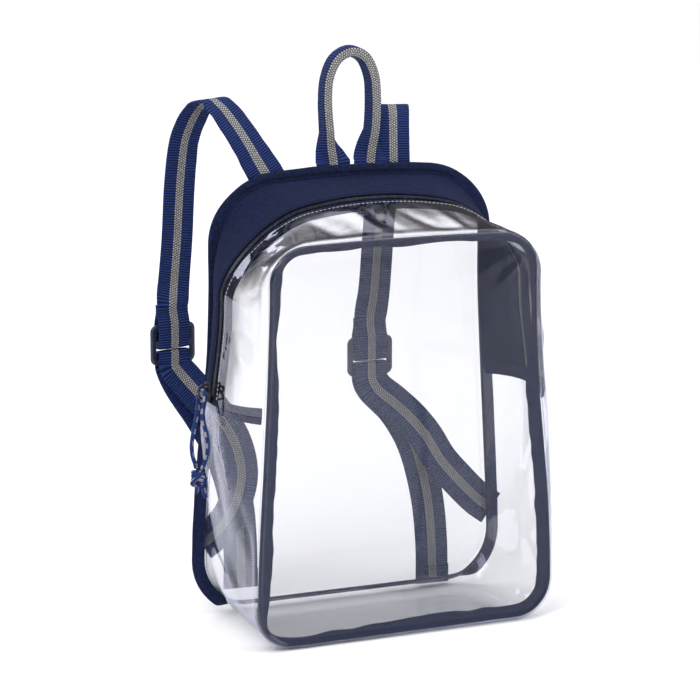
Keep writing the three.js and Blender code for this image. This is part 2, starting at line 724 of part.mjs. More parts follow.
// Pull cord: the front half comes through the bail, and both halves cross, open and go into the knot
const CORD_X = BAIL_X - CORD_DIAMETER / 2 - 0.5;
const CORD_Z = SLIDER_SEAT.z;
const KNOT = { x: CORD_X - 4.5, y: SLIDER_SEAT.y - 3, z: CORD_Z - 57 };
const PULL_CORD_FRONT = [
  [0.2, 9, 0.3], [0, 4, 0.8], [0, -1, 0.9], [-0.8, -5.6, -1.2], [-2, -7.2, -6],
  [-3, -6.8, -12], [-2.4, -6.2, -18], [-0.6, -6.4, -26], [0.4, -6.8, -33],
  [0.2, -6.4, -40], [-1.2, -5.2, -46.5], [-3.1, -4.4, -51.5],
];
const PULL_CORD_REAR = [
  [-0.2, 8.6, -3.2], [-0.8, 7, -7], [-2, 4.6, -11], [-3.8, 2.2, -16], [-5.6, 1.2, -22.5],
  [-7.4, 0.8, -30], [-8.2, 0.6, -37], [-7.6, 0.2, -43.5], [-6.2, -0.4, -48.5], [-5.7, -0.8, -51.5],
];

function cordCurve(points) {
  return new THREE.CatmullRomCurve3(
    points.map(([x, y, z]) => new THREE.Vector3(CORD_X + x, SLIDER_SEAT.y + y, CORD_Z + z)),
    false, 'centripetal',
  );
}

// Knot: a fat ring of cord turns with two short tails fused to it
function knotGeometry() {
  const ring = new THREE.TorusGeometry(KNOT_RADIUS, KNOT_TUBE, 8, 14);
  ring.rotateX(degToRad(70));
  const second = new THREE.TorusGeometry(KNOT_RADIUS - 0.6, KNOT_TUBE, 8, 14);
  second.rotateX(degToRad(100));
  second.rotateY(degToRad(24));
  second.translate(0, 0, -2.4);
  const core = new THREE.CylinderGeometry(2.6, 2.6, 5, 8);
  core.rotateX(Math.PI / 2);
  let solid = toSolid(ring).add(toSolid(second)).add(toSolid(core));
  for (const [x, y, fall] of [[1.6, -1.4, 15], [-1.4, 1.8, 12]]) {
    const tail = new THREE.CatmullRomCurve3([
      new THREE.Vector3(x * 0.6, y * 0.6, -2), new THREE.Vector3(x * 1.3, y * 1.3, -fall * 0.6),
      new THREE.Vector3(x * 2, y * 1.6, -fall),
    ]);
    solid = solid.add(toSolid(tube(tail, CORD_DIAMETER / 2, CORD_SIDES, 5)));
  }
  return toGeometry(solid);
}

// Materials
function finish(color, roughness, metalness = 0, opacity = 1) {
  return new THREE.MeshStandardMaterial({ color, roughness, metalness, opacity, transparent: opacity < 1 });
}

const clearVinyl = () => finish(0xe9edf2, 0.08, 0, 0.22);
const navyCloth = () => finish(0x232c4e, 0.85);
const navyTape = () => finish(0x27315c, 0.8);
const navyWebbing = () => finish(0x2a3f7c, 0.8);
const darkPlastic = () => finish(0x2b3247, 0.4);
const coilPlastic = () => finish(0x14182a, 0.45);
const paintedMetal = () => finish(0x1a1f33, 0.35, 0.6);
const cordBraid = () => finish(0x22346b, 0.75);

const bag = new THREE.Group();

function add(name, geometry, material, place = new THREE.Vector3(), yaw = 0) {
  const mesh = new THREE.Mesh(geometry, material);
  mesh.name = name;
  mesh.position.copy(place);
  mesh.rotation.z = yaw;
  bag.add(mesh);
}

// Panels and the tapes on their seams
add('front_panel', panelGeometry(SECTIONS.front, {
  inset: 0, face: SECTIONS.front.y, thickness: VINYL, crown: FRONT_BULGE,
}), clearVinyl());
add('back_panel', panelGeometry(SECTIONS.back, {
  inset: 0, face: SECTIONS.back.y + GAP, thickness: VINYL, crown: 0,
}), clearVinyl());
add('front_binding', seamTape(SECTIONS.front, {
  near: SEAM_TAPE_INSET, far: SEAM_TAPE_INSET + SEAM_TAPE_WIDTH,
  face: SECTIONS.front.y + VINYL + GAP, thickness: SEAM_TAPE_THICKNESS,
}), navyTape());
add('back_binding', flangeGeometry(), navyTape());

// Gussets
const SEAM_END = 1 - (VINYL + GAP) / DEPTH;
const DEPTH_STEPS = 8;
const halfOfSideGap = GAP / 2 * (SIDE_SEAM - STRETCHES[1].ends) / (SIDE_SEAM_HEIGHT - FLARE_LOW);
add('lower_gusset', gussetWall(underBase(SIDE_SEAM - halfOfSideGap), {
  shares: () => [...spread(0, 1, DEPTH_STEPS).slice(0, -1), SEAM_END], outer: 0, thickness: VINYL,
}), clearVinyl());
add('rear_gusset', gussetWall(overTop(SIDE_SEAM + halfOfSideGap), {
  shares: (s) => [...spread(0, zipShare(s, -TAPE_REACH), 3), zipShare(s, -REAR_EDGE_REACH)],
  outer: 0, thickness: CLOTH,
}), navyCloth());
add('front_gusset', gussetWall(overTop(SIDE_SEAM + halfOfSideGap), {
  shares: (s) => [zipShare(s, FRONT_EDGE_REACH), ...spread(zipShare(s, TAPE_REACH), SEAM_END, 4)],
  outer: 0, thickness: VINYL, dented: true,
}), clearVinyl());

// Bound seams across the sides, inside the bag
const upperShare = (SHOULDER - SIDE_SEAM) / (ZIP_HEIGHT - ZIP_CORNER_TOP - SIDE_SEAM_HEIGHT);
const lowerShare = (SIDE_SEAM - STRETCHES[1].ends) / (SIDE_SEAM_HEIGHT - FLARE_LOW);
const sideTapeTop = SIDE_SEAM + SIDE_TAPE_WIDTH / 2 * upperShare;
const sideTapeBottom = SIDE_SEAM - SIDE_TAPE_WIDTH / 2 * lowerShare;
const sideTapeStart = (VINYL + GAP) / DEPTH;
const sideTapeEnd = SEAM_END - (GAP + SEAM_TAPE_THICKNESS + GAP) / DEPTH;
for (const [name, side] of [['side_binding_left', -1], ['side_binding_right', 1]]) {
  const stations = [sideTapeBottom, SIDE_SEAM, sideTapeTop].map((half) => ({ side, half }));
  add(name, gussetWall(stations, {
    shares: () => [sideTapeStart, ...spread(0, 1, DEPTH_STEPS).slice(1, -1), sideTapeEnd],
    outer: -VINYL - 2 * GAP, thickness: SEAM_TAPE_THICKNESS,
  }), navyTape());
}

// Zip: two tapes under the gussets' edges and the coil between them
const tapeStart = sideTapeTop + GAP * 2 * upperShare;
const TAPES = {
  zipper_tape_rear: [-TAPE_REACH, -REAR_EDGE_REACH, -COIL_WIDTH / 2 - GAP],
  zipper_tape_front: [COIL_WIDTH / 2 + GAP, FRONT_EDGE_REACH, TAPE_REACH],
};
for (const [name, reaches] of Object.entries(TAPES)) {
  add(name, gussetWall(overTop(tapeStart), {
    shares: (s) => reaches.map((reach) => zipShare(s, reach)),
    outer: -VINYL - GAP, thickness: TAPE_THICKNESS,
  }), navyTape());
}
add('zipper_coil', gussetWall(overTop(tapeStart), {
  shares: (s) => [zipShare(s, -COIL_WIDTH / 2), zipShare(s, COIL_WIDTH / 2)],
  outer: COIL_HEIGHT - TAPE_THICKNESS - VINYL - GAP, thickness: COIL_HEIGHT,
}), coilPlastic());
add('zipper_slider', zipSliderGeometry(), paintedMetal(), new THREE.Vector3(BODY_X, SLIDER_SEAT.y, CORD_Z));

// Pull cord and its knot
add('pull_cord_front', tube(cordCurve(PULL_CORD_FRONT), CORD_DIAMETER / 2, CORD_SIDES, 24), cordBraid());
add('pull_cord_rear', tube(cordCurve(PULL_CORD_REAR), CORD_DIAMETER / 2, CORD_SIDES, 20), cordBraid());
add('pull_knot', knotGeometry(), cordBraid(), new THREE.Vector3(KNOT.x, KNOT.y, KNOT.z));

// Handle, straps and their sliders
add('grab_handle', handleGeometry(), navyWebbing());
for (const [side, { slider, strap, run, tail }] of Object.entries(SHOULDERS)) {
  const loop = SEWN_LOOP_TABLE.map(({ deep, rise }) => sliderRow(slider, deep, rise));
  const turn = BAR_TURN_TABLE.map(({ deep, rise }) => sliderRow(slider, deep, rise));
  add(`shoulder_strap_${side}`, webbing([...strap, ...loop]), navyWebbing());
  add(`adjuster_strap_${side}`, webbing([...run, ...turn, ...tail]), navyWebbing());
  const drift = new THREE.Vector3(SLIDER_DRIFT, 0, 0);
  drift.applyAxisAngle(new THREE.Vector3(0, 0, 1), degToRad(slider.yaw));
  const centre = new THREE.Vector3(slider.x, slider.y, slider.z).add(drift);
  add(`strap_slider_${side}`, strapSliderGeometry(), darkPlastic(), centre, degToRad(slider.yaw));
}

export default bag;
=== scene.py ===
"""Clear stadium backpack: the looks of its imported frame.

Sizes are in millimetres here and become metres as each mesh is made. +Z is up, +X is to the right of
someone who faces the front, and the front faces -Y.
"""

import logging
import math
from collections.abc import Sequence
from dataclasses import dataclass
from enum import Enum

import bpy
import numpy as np
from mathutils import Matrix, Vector, noise


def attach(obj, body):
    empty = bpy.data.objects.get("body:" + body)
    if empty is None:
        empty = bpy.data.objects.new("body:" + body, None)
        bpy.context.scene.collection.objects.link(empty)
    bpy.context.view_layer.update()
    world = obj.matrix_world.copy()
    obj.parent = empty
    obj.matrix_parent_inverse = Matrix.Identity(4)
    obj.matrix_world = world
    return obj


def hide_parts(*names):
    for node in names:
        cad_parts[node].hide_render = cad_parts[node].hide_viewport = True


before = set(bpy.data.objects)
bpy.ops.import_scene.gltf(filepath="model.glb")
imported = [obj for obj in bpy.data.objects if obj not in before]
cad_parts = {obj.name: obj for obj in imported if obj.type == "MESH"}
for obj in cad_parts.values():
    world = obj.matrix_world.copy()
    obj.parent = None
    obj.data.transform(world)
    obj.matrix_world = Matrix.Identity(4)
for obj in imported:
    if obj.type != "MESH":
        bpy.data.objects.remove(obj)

LOG = logging.getLogger("backpack")
MM = 0.001
WEAVE = "Weave"
UV_SCALE = 0.01
BODY = "root"

Array = np.ndarray
Thing = bpy.types.Object
Socket = bpy.types.NodeSocket
Material = bpy.types.Material
Pair = tuple[float, float]
Point = tuple[float, float, float]
Four = tuple[float, float, float, float]
Colour = Four


# Small helpers


def lerp(a: Array | float, b: Array | float, share: Array | float) -> Array | float:
    """Value between a and b at a share from 0 to 1."""
    return a + (b - a) * share


def smoothstep(value: Array | float, low: float, high: float) -> Array:
    """Smooth rise from 0 at low to 1 at high."""
    share = np.clip((np.asarray(value, float) - low) / (high - low), 0.0, 1.0)
    return share * share * (3.0 - 2.0 * share)


def unit(vectors: Array) -> Array:
    """Vectors scaled to length 1 along their last axis."""
    return vectors / np.maximum(np.linalg.norm(vectors, axis=-1, keepdims=True), 1e-12)


def field_noise(points: Array, scale: float, seed: float) -> Array:
    """Smooth noise at each point.

    Args:
        points: places in millimetres, any shape with a last axis of 3.
        scale: how many noise cells fit in a millimetre.
        seed: offset that gives each use its own field.

    Returns:
        Values of about -1 to 1 in the shape of points without its last axis.
    """
    flat = points.reshape(-1, 3) * scale + seed
    values = [noise.noise(Vector(p)) for p in flat]
    return np.array(values).reshape(points.shape[:-1])


class Catmull:
    """Centripetal spline through chosen points, open at both ends."""

    def __init__(self, points: Sequence[Sequence[float]]) -> None:
        """Keeps the points, with one more past each end."""
        p = np.asarray(points, float)
        self.points = np.vstack([2 * p[0] - p[1], p, 2 * p[-1] - p[-2]])
        self.spans = len(p) - 1

    def gap(self, start: Array, end: Array) -> Array:
        """Knot distance between neighbouring points."""
        return np.maximum(np.sum((end - start) ** 2, 1) ** 0.25, 1e-4)[:, None]

    def at(self, place: Array) -> Array:
        """Points at places counted in spans from the first point."""
        place = np.clip(np.asarray(place, float), 0, self.spans)
        row = np.minimum(place.astype(int), self.spans - 1)
        t = (place - row)[:, None]
        p0, p1, p2, p3 = (self.points[row + k] for k in range(4))
        d0, d1, d2 = (self.gap(a, b) for a, b in ((p0, p1), (p1, p2), (p2, p3)))
        t1 = ((p1 - p0) / d0 - (p2 - p0) / (d0 + d1) + (p2 - p1) / d1) * d1
        t2 = ((p2 - p1) / d1 - (p3 - p1) / (d1 + d2) + (p3 - p2) / d2) * d1
        return p1 + t1 * t + (-3 * p1 + 3 * p2 - 2 * t1 - t2) * t**2 + (2 * p1 - 2 * p2 + t1 + t2) * t**3

    def even(self, step: float) -> tuple[Array, Array]:
        """Places that lie about one step apart along the curve.

        Args:
            step: wanted distance in millimetres.

        Returns:
            The places in spans and the length run up to each.
        """
        fine = np.linspace(0, self.spans, self.spans * 40 + 1)
        run = np.concatenate([[0], np.cumsum(np.linalg.norm(np.diff(self.at(fine), axis=0), axis=1))])
        count = max(int(round(run[-1] / step)), 2)
        lengths = np.linspace(0, run[-1], count + 1)
        return np.interp(lengths, run, fine), lengths


# Mesh makers


def placed(name: str, data: bpy.types.ID) -> Thing:
    """New object of some data, linked to the scene."""
    made = bpy.data.objects.new(name, data)
    bpy.context.scene.collection.objects.link(made)
    return made


def weave_grid(across: Array, along: Array) -> Array:
    """Place in the cloth for each row and column."""
    return np.stack(np.broadcast_arrays(across, along), axis=-1)


def upright(x: Array, z: Array, y: float = 0.0) -> Array:
    """Points or directions in a plane that faces the front."""
    return np.stack([x, np.full_like(x, y), z], axis=-1)


def rounded_section(count: int, power: float, across: float, deep: float) -> tuple[Array, Array]:
    """Rounded rectangle of some points: their places across and deep."""
    turn = np.linspace(0, 2 * np.pi, count + 1)[:-1]
    c, s = np.cos(turn), np.sin(turn)
    return np.sign(c) * np.abs(c) ** power * across / 2, np.sign(s) * np.abs(s) ** power * deep / 2


def plain_mesh(
    name: str, points: Array, faces: list, uvs: list | None = None, sharp: float = 40.0
) -> Thing:
    """Object from points in millimetres, with faces turned outwards and smooth shading.

    Args:
        name: the object's name.
        points: vertices.
        faces: tuples of vertex numbers.
        uvs: for each face a list of places in millimetres of weave, or None.
        sharp: edges that turn more than this many degrees stay sharp.

    Returns:
        The linked object.
    """
    volume = 0.0
    for f in faces:
        a = points[f[0]]
        for k in range(1, len(f) - 1):
            volume += float(np.dot(a, np.cross(points[f[k]], points[f[k + 1]])))
    if volume < 0:
        faces = [tuple(reversed(f)) for f in faces]
        uvs = [list(reversed(u)) for u in uvs] if uvs is not None else None
    mesh = bpy.data.meshes.new(name)
    mesh.from_pydata((points * MM).tolist(), [], faces)
    if uvs is not None:
        layer = mesh.uv_layers.new(name=WEAVE)
        flat = np.array([c for u in uvs for c in u], np.float32) * UV_SCALE
        layer.data.foreach_set("uv", flat.reshape(-1))
    mesh.polygons.foreach_set("use_smooth", [True] * len(mesh.polygons))
    mesh.set_sharp_from_angle(angle=math.radians(sharp))
    mesh.update()
    made = placed(name, mesh)
    return made


def sheet(
    name: str, front: Array, back: Array, weave: Array, looped: bool = False, sharp: float = 50.0
) -> Thing:
    """Closed thin wall between two grids of points.

    Args:
        name: the object's name.
        front: one face, rows by columns by 3, in millimetres.
        back: the other face, the same shape.
        weave: place in the cloth for each row and column, with one more row where the rows loop.
        looped: True where the last row joins the first.
        sharp: edges that turn more than this many degrees stay sharp.

    Returns:
        The linked object.
    """
    rows, cols = front.shape[:2]
    points = np.concatenate([front.reshape(-1, 3), back.reshape(-1, 3)])
    base = rows * cols
    faces: list = []
    uvs: list = []

    def quad(corners: list[tuple[int, int, int]]) -> None:
        """Adds one face from (row, column, side) corners."""
        faces.append(tuple((r % rows) * cols + c + side * base for r, c, side in corners))
        uvs.append([tuple(weave[r, c]) for r, c, _ in corners])

    for r in range(rows if looped else rows - 1):
        for c in range(cols - 1):
            quad([(r, c, 0), (r, c + 1, 0), (r + 1, c + 1, 0), (r + 1, c, 0)])
            quad([(r, c, 1), (r + 1, c, 1), (r + 1, c + 1, 1), (r, c + 1, 1)])
        quad([(r, 0, 0), (r + 1, 0, 0), (r + 1, 0, 1), (r, 0, 1)])
        quad([(r + 1, cols - 1, 0), (r, cols - 1, 0), (r, cols - 1, 1), (r + 1, cols - 1, 1)])
    if not looped:
        for c in range(cols - 1):
            quad([(0, c + 1, 0), (0, c, 0), (0, c, 1), (0, c + 1, 1)])
            e = rows - 1
            quad([(e, c, 0), (e, c + 1, 0), (e, c + 1, 1), (e, c, 1)])
    return plain_mesh(name, points, faces, uvs, sharp)


def skin(
    name: str, rings: Array, weave: Array, looped: bool = False, sharp: float = 40.0
) -> Thing:
    """Closed skin over rings of points.

    Args:
        name: the object's name.
        rings: rings by points by 3, in millimetres.
        weave: place in the cloth for each, with one more point, and one more ring where they loop.
        looped: True where the last ring joins the first.
        sharp: edges that turn more than this many degrees stay sharp.

    Returns:
        The linked object.
    """
    count, around = rings.shape[:2]
    points = rings.reshape(-1, 3)
    faces: list = []
    uvs: list = []
    for r in range(count if looped else count - 1):
        for k in range(around):
            corners = [(r, k), (r, k + 1), (r + 1, k + 1), (r + 1, k)]
            faces.append(tuple((i % count) * around + j % around for i, j in corners))
            uvs.append([tuple(weave[i, j]) for i, j in corners])
    if not looped:
        faces.append(tuple(range(around - 1, -1, -1)))
        uvs.append([tuple(weave[0, j]) for j in range(around - 1, -1, -1)])
        faces.append(tuple((count - 1) * around + j for j in range(around)))
        uvs.append([tuple(weave[count - 1, j]) for j in range(around)])
    return plain_mesh(name, points, faces, uvs, sharp)


def path_frames(points: Array) -> tuple[Array, Array, Array]:
    """Tangent and two side directions that turn as little as they can along a path.

    Args:
        points: the path, in millimetres.

    Returns:
        Tangents, first sides and second sides.
    """
    tangent = unit(np.gradient(points, axis=0))
    side = np.zeros_like(points)
    start = np.array([0.0, 0.0, 1.0]) if abs(tangent[0][2]) < 0.9 else np.array([1.0, 0.0, 0.0])
    side[0] = unit(start - tangent[0] * start.dot(tangent[0]))
    for k in range(1, len(points)):
        moved = side[k - 1] - tangent[k] * side[k - 1].dot(tangent[k])
        side[k] = unit(moved)
    return tangent, side, np.cross(tangent, side)


def ring_directions(side: Array, other: Array, turn: Array) -> Array:
    """Unit directions round a path, for each of its points and each turn."""
    return np.cos(turn)[None, :, None] * side[:, None, :] + np.sin(turn)[None, :, None] * other[:, None, :]


def joined(name: str, parts: Sequence[Thing]) -> Thing:
    """One object of several meshes that share a material.

    Args:
        name: the new object's name.
        parts: the objects, which are removed.

    Returns:
        The joined object.
    """
    points: list = []
    faces: list = []
    uvs: list = []
    for part in parts:
        start = len(points)
        mesh = part.data
        points.extend([tuple(v.co) for v in mesh.vertices])
        layer = mesh.uv_layers.get(WEAVE)
        for polygon in mesh.polygons:
            faces.append(tuple(start + i for i in polygon.vertices))
            if layer is not None:
                uvs.extend([tuple(layer.data[i].uv) for i in polygon.loop_indices])
            else:
                uvs.extend([(0.0, 0.0)] * len(polygon.vertices))
    mesh = bpy.data.meshes.new(name)
    mesh.from_pydata(points, [], faces)
    mesh.uv_layers.new(name=WEAVE).data.foreach_set("uv", np.array(uvs, np.float32).reshape(-1))
    mesh.polygons.foreach_set("use_smooth", [True] * len(mesh.polygons))
    mesh.set_sharp_from_angle(angle=math.radians(45))
    made = placed(name, mesh)
    for material in parts[0].data.materials:
        made.data.materials.append(material)
    for part in parts:
        bpy.data.objects.remove(part)
    return made


# Repeats made by Geometry Nodes


class Repeat(Enum):
    """Small rounded shapes that are repeated along seams, as segments and rings."""

    STITCH = (6, 5)
    TOOTH = (8, 6)


@dataclass(frozen=True)
class RepeatSize:
    """Size of one repeated shape in millimetres: along the seam, across it and out of it."""

    long: float
    wide: float
    tall: float
    wobble: float = 0.06
    seed: int = 7


class RepeatTree:
    """Geometry Nodes tree that sets one small shape on every point of a mesh."""

    def __init__(self, kind: Repeat) -> None:
        """Builds the tree for a kind of shape."""
        self.tree = bpy.data.node_groups.new(f"repeat_{kind.name.lower()}", "GeometryNodeTree")
        face = self.tree.interface
        face.new_socket("Geometry", in_out="INPUT", socket_type="NodeSocketGeometry")
        for label in ("Long", "Wide", "Tall", "Wobble"):
            face.new_socket(label, in_out="INPUT", socket_type="NodeSocketFloat")
        face.new_socket("Seed", in_out="INPUT", socket_type="NodeSocketInt")
        face.new_socket("Material", in_out="INPUT", socket_type="NodeSocketMaterial")
        face.new_socket("Geometry", in_out="OUTPUT", socket_type="NodeSocketGeometry")
        nodes, link = self.tree.nodes, self.tree.links.new
        given = nodes.new("NodeGroupInput")
        result = nodes.new("NodeGroupOutput")
        segments, levels = kind.value
        shape = nodes.new("GeometryNodeMeshUVSphere")
        shape.inputs["Segments"].default_value = segments
        shape.inputs["Rings"].default_value = levels
        shape.inputs["Radius"].default_value = 0.5
        size = nodes.new("ShaderNodeCombineXYZ")
        sized = nodes.new("GeometryNodeTransform")
        along, outward = (nodes.new("GeometryNodeInputNamedAttribute") for _ in range(2))
        for node, label in ((along, "along"), (outward, "outward")):
            node.data_type = "FLOAT_VECTOR"
            node.inputs["Name"].default_value = label
        turn = nodes.new("FunctionNodeAxesToRotation")
        turn.primary_axis, turn.secondary_axis = "Z", "X"
        low, high = (nodes.new("ShaderNodeMath") for _ in range(2))
        for node, operation in ((low, "SUBTRACT"), (high, "ADD")):
            node.operation = operation
            node.inputs[0].default_value = 1.0
        vary = nodes.new("FunctionNodeRandomValue")
        vary.data_type = "FLOAT"
        place = nodes.new("GeometryNodeInstanceOnPoints")
        real = nodes.new("GeometryNodeRealizeInstances")
        smooth = nodes.new("GeometryNodeSetShadeSmooth")
        dress = nodes.new("GeometryNodeSetMaterial")
        for source, output, target, entry in (
            (given, "Tall", size, "X"), (given, "Wide", size, "Y"), (given, "Long", size, "Z"),
            (shape, "Mesh", sized, "Geometry"), (size, "Vector", sized, "Scale"),
            (along, "Attribute", turn, "Primary Axis"), (outward, "Attribute", turn, "Secondary Axis"),
            (given, "Wobble", low, 1), (given, "Wobble", high, 1),
            (low, 0, vary, 2), (high, 0, vary, 3), (given, "Seed", vary, "Seed"),
            (given, "Geometry", place, "Points"), (sized, "Geometry", place, "Instance"),
            (turn, "Rotation", place, "Rotation"), (vary, 1, place, "Scale"),
            (place, "Instances", real, "Geometry"), (real, "Geometry", smooth, 0),
            (smooth, 0, dress, "Geometry"), (given, "Material", dress, "Material"),
            (dress, "Geometry", result, "Geometry"),
        ):
            link(source.outputs[output], target.inputs[entry])

    def run(
        self, name: str, places: Array, along: Array, outward: Array, size: RepeatSize,
        material: Material,
    ) -> Thing:
        """Sets the shape on each place and returns the plain mesh.

        Args:
            name: the object's name.
            places: points in millimetres.
            along: direction of the seam at each.
            outward: direction away from the cloth at each.
            size: size of one shape.
            material: its finish.

        Returns:
            The linked object, with no modifier left on it.
        """
        mesh = bpy.data.meshes.new(name + "_places")
        mesh.from_pydata((places * MM).tolist(), [], [])
        for label, values in (("along", along), ("outward", outward)):
            data = mesh.attributes.new(label, "FLOAT_VECTOR", "POINT").data
            data.foreach_set("vector", np.asarray(values, np.float32).reshape(-1))
        source = placed(name + "_places", mesh)
        modifier = source.modifiers.new("Repeat", "NODES")
        modifier.node_group = self.tree
        wanted = {
            "Long": size.long * MM, "Wide": size.wide * MM, "Tall": size.tall * MM,
            "Wobble": size.wobble, "Seed": size.seed, "Material": material,
        }
        for item in self.tree.interface.items_tree:
            if item.in_out == "INPUT" and item.name in wanted:
                modifier[item.identifier] = wanted[item.name]
        graph = bpy.context.evaluated_depsgraph_get()
        result = bpy.data.meshes.new_from_object(source.evaluated_get(graph))
        result.name = name
        for label in ("along", "outward"):
            if label in result.attributes:
                result.attributes.remove(result.attributes[label])
        bpy.data.objects.remove(source)
        made = placed(name, result)
        if not result.materials:
            result.materials.append(material)
        return made


# Finishes


class Shade:
    """Short hand for building one material's nodes."""

    def __init__(self, name: str) -> None:
        """Starts an empty material."""
        self.material = bpy.data.materials.new(name)
        self.material.use_nodes = True
        self.tree = self.material.node_tree
        self.tree.nodes.clear()
        self.out = self.tree.nodes.new("ShaderNodeOutputMaterial")

    def add(self, kind: str, given: dict[str | int, object] | None = None, **settings: str) -> bpy.types.Node:
        """New node with some of its inputs fed and some of its properties set."""
        node = self.tree.nodes.new(kind)
        for key, value in settings.items():
            setattr(node, key, value)
        for key, value in (given or {}).items():
            self.feed(node.inputs[key], value)
        return node

    def feed(self, socket: Socket, value: object) -> None:
        """Links a socket to another one, or sets its own value."""
        if isinstance(value, Socket):
            self.tree.links.new(value, socket)
        else:
            socket.default_value = value

    def math(self, operation: str, *values: object) -> Socket:
        """Result of a Math node."""
        node = self.add("ShaderNodeMath", operation=operation)
        for socket, value in zip(node.inputs, values):
            self.feed(socket, value)
        return node.outputs[0]

    def times(self, first: object, second: object) -> Socket:
        """Product of two values."""
        return self.math("MULTIPLY", first, second)

    def plus(self, first: object, second: object) -> Socket:
        """Sum of two values."""
        return self.math("ADD", first, second)

    def place(self) -> Socket:
        """Place in the object."""
        return self.add("ShaderNodeTexCoord").outputs["Object"]

    def mix(self, factor: object, first: object, second: object) -> Socket:
        """Colour between two colours."""
        node = self.add("ShaderNodeMix", {0: factor, 6: first, 7: second}, data_type="RGBA")
        return node.outputs[2]

    def remap(self, value: object, low: float, high: float, start: float = 0.0, end: float = 1.0) -> Socket:
        """Smooth change from start to end while value goes from low to high."""
        node = self.add("ShaderNodeMapRange", interpolation_type="SMOOTHSTEP")
        for socket, given in zip(node.inputs, (value, low, high, start, end)):
            self.feed(socket, given)
        return node.outputs[0]

    def noise(self, place: object, scale: float, detail: float = 2.0, rough: float = 0.5) -> Socket:
        """Value of a Noise Texture."""
        node = self.add("ShaderNodeTexNoise", {
            "Vector": place, "Scale": scale, "Detail": detail, "Roughness": rough,
        })
        return node.outputs[0]

    def stretched(self, place: object, scale: Sequence[float]) -> Socket:
        """Place scaled by its own amount on each axis."""
        node = self.add("ShaderNodeMapping", {"Vector": place, "Scale": tuple(scale)})
        return node.outputs[0]

    def weave_mm(self) -> tuple[Socket, Socket]:
        """Place in the cloth in millimetres: across and along."""
        uv = self.add("ShaderNodeUVMap", uv_map=WEAVE)
        parts = self.add("ShaderNodeSeparateXYZ", {0: uv.outputs[0]})
        return (
            self.times(parts.outputs[0], 1 / UV_SCALE),
            self.times(parts.outputs[1], 1 / UV_SCALE),
        )

    def wave(self, value: object, pitch: float) -> Socket:
        """Wave from 0 to 1 with a pitch in the value's own unit."""
        turned = self.math("SINE", self.times(value, 2 * math.pi / pitch))
        return self.math("MULTIPLY_ADD", turned, 0.5, 0.5)

    def bump(self, height: object, distance: float, strength: float = 1.0, normal: object = None) -> Socket:
        """Normal bent by a height."""
        node = self.add("ShaderNodeBump", {"Height": height, "Distance": distance, "Strength": strength})
        if normal is not None:
            self.feed(node.inputs["Normal"], normal)
        return node.outputs[0]

    def finish(self, shader: Socket) -> Material:
        """Connects the surface and returns the material."""
        self.feed(self.out.inputs["Surface"], shader)
        return self.material


@dataclass(frozen=True)
class VinylFinish:
    """Clear sheet: see-through face on, mirror-like and darker where it is seen along its surface."""

    name: str = "clear_vinyl"
    tint: Colour = (0.94, 0.941, 0.943, 1.0)
    edge_tint: Colour = (0.3, 0.295, 0.33, 1.0)
    haze: float = 0.004
    edge_span: Pair = (0.6, 1.0)
    face_shine: float = 0.018
    roughness: float = 0.045
    ripple: float = 0.0006
    broad_scale: float = 38.0
    fine_scale: float = 160.0
    fine_share: float = 0.12
    shine_power: float = 4.5
    edge_shine: float = 0.9
    gloss: Colour = (0.86, 0.88, 1.0, 1.0)
    mist: Colour = (0.82, 0.84, 0.95, 1.0)

    def build(self) -> Material:
        """Makes the material."""
        s = Shade(self.name)
        place = s.place()
        broad = s.noise(s.stretched(place, (1.0, 1.0, 0.45)), self.broad_scale, 2.0, 0.45)
        fine = s.noise(place, self.fine_scale, 2.0, 0.5)
        height = s.math("MULTIPLY_ADD", fine, self.fine_share, broad)
        normal = s.bump(height, self.ripple, 1.0)
        weight = s.add("ShaderNodeLayerWeight", {"Blend": 0.5, "Normal": normal})
        facing = weight.outputs["Facing"]
        along = s.remap(facing, *self.edge_span)
        clear = s.add("ShaderNodeBsdfTransparent", {"Color": s.mix(along, self.tint, self.edge_tint)})
        gloss = s.add("ShaderNodeBsdfAnisotropic", {
            "Color": self.gloss, "Roughness": self.roughness, "Normal": normal,
        })
        mist = s.add("ShaderNodeBsdfDiffuse", {"Color": self.mist})
        milky = s.add("ShaderNodeMixShader", {0: self.haze, 1: clear.outputs[0], 2: mist.outputs[0]})
        power = s.math("POWER", facing, self.shine_power)
        shine = s.math("MULTIPLY_ADD", power, self.edge_shine, self.face_shine)
        both = s.add("ShaderNodeMixShader", {0: shine, 1: milky.outputs[0], 2: gloss.outputs[0]})
        return s.finish(both.outputs[0])


def cloth(s: Shade, colour: object, height: object, depth: float, rough: object, sheen: float) -> Material:
    """Finishes a cloth material from its colour and relief."""
    shader = s.add("ShaderNodeBsdfPrincipled")
    s.feed(shader.inputs["Base Color"], colour)
    s.feed(shader.inputs["Roughness"], rough)
    s.feed(shader.inputs["Specular IOR Level"], 0.12)
    s.feed(shader.inputs["Sheen Weight"], sheen)
    s.feed(shader.inputs["Sheen Roughness"], 0.4)
    s.feed(shader.inputs["Sheen Tint"], (0.55, 0.62, 0.95, 1.0))
    s.feed(shader.inputs["Normal"], s.bump(height, depth))
    return s.finish(shader.outputs[0])


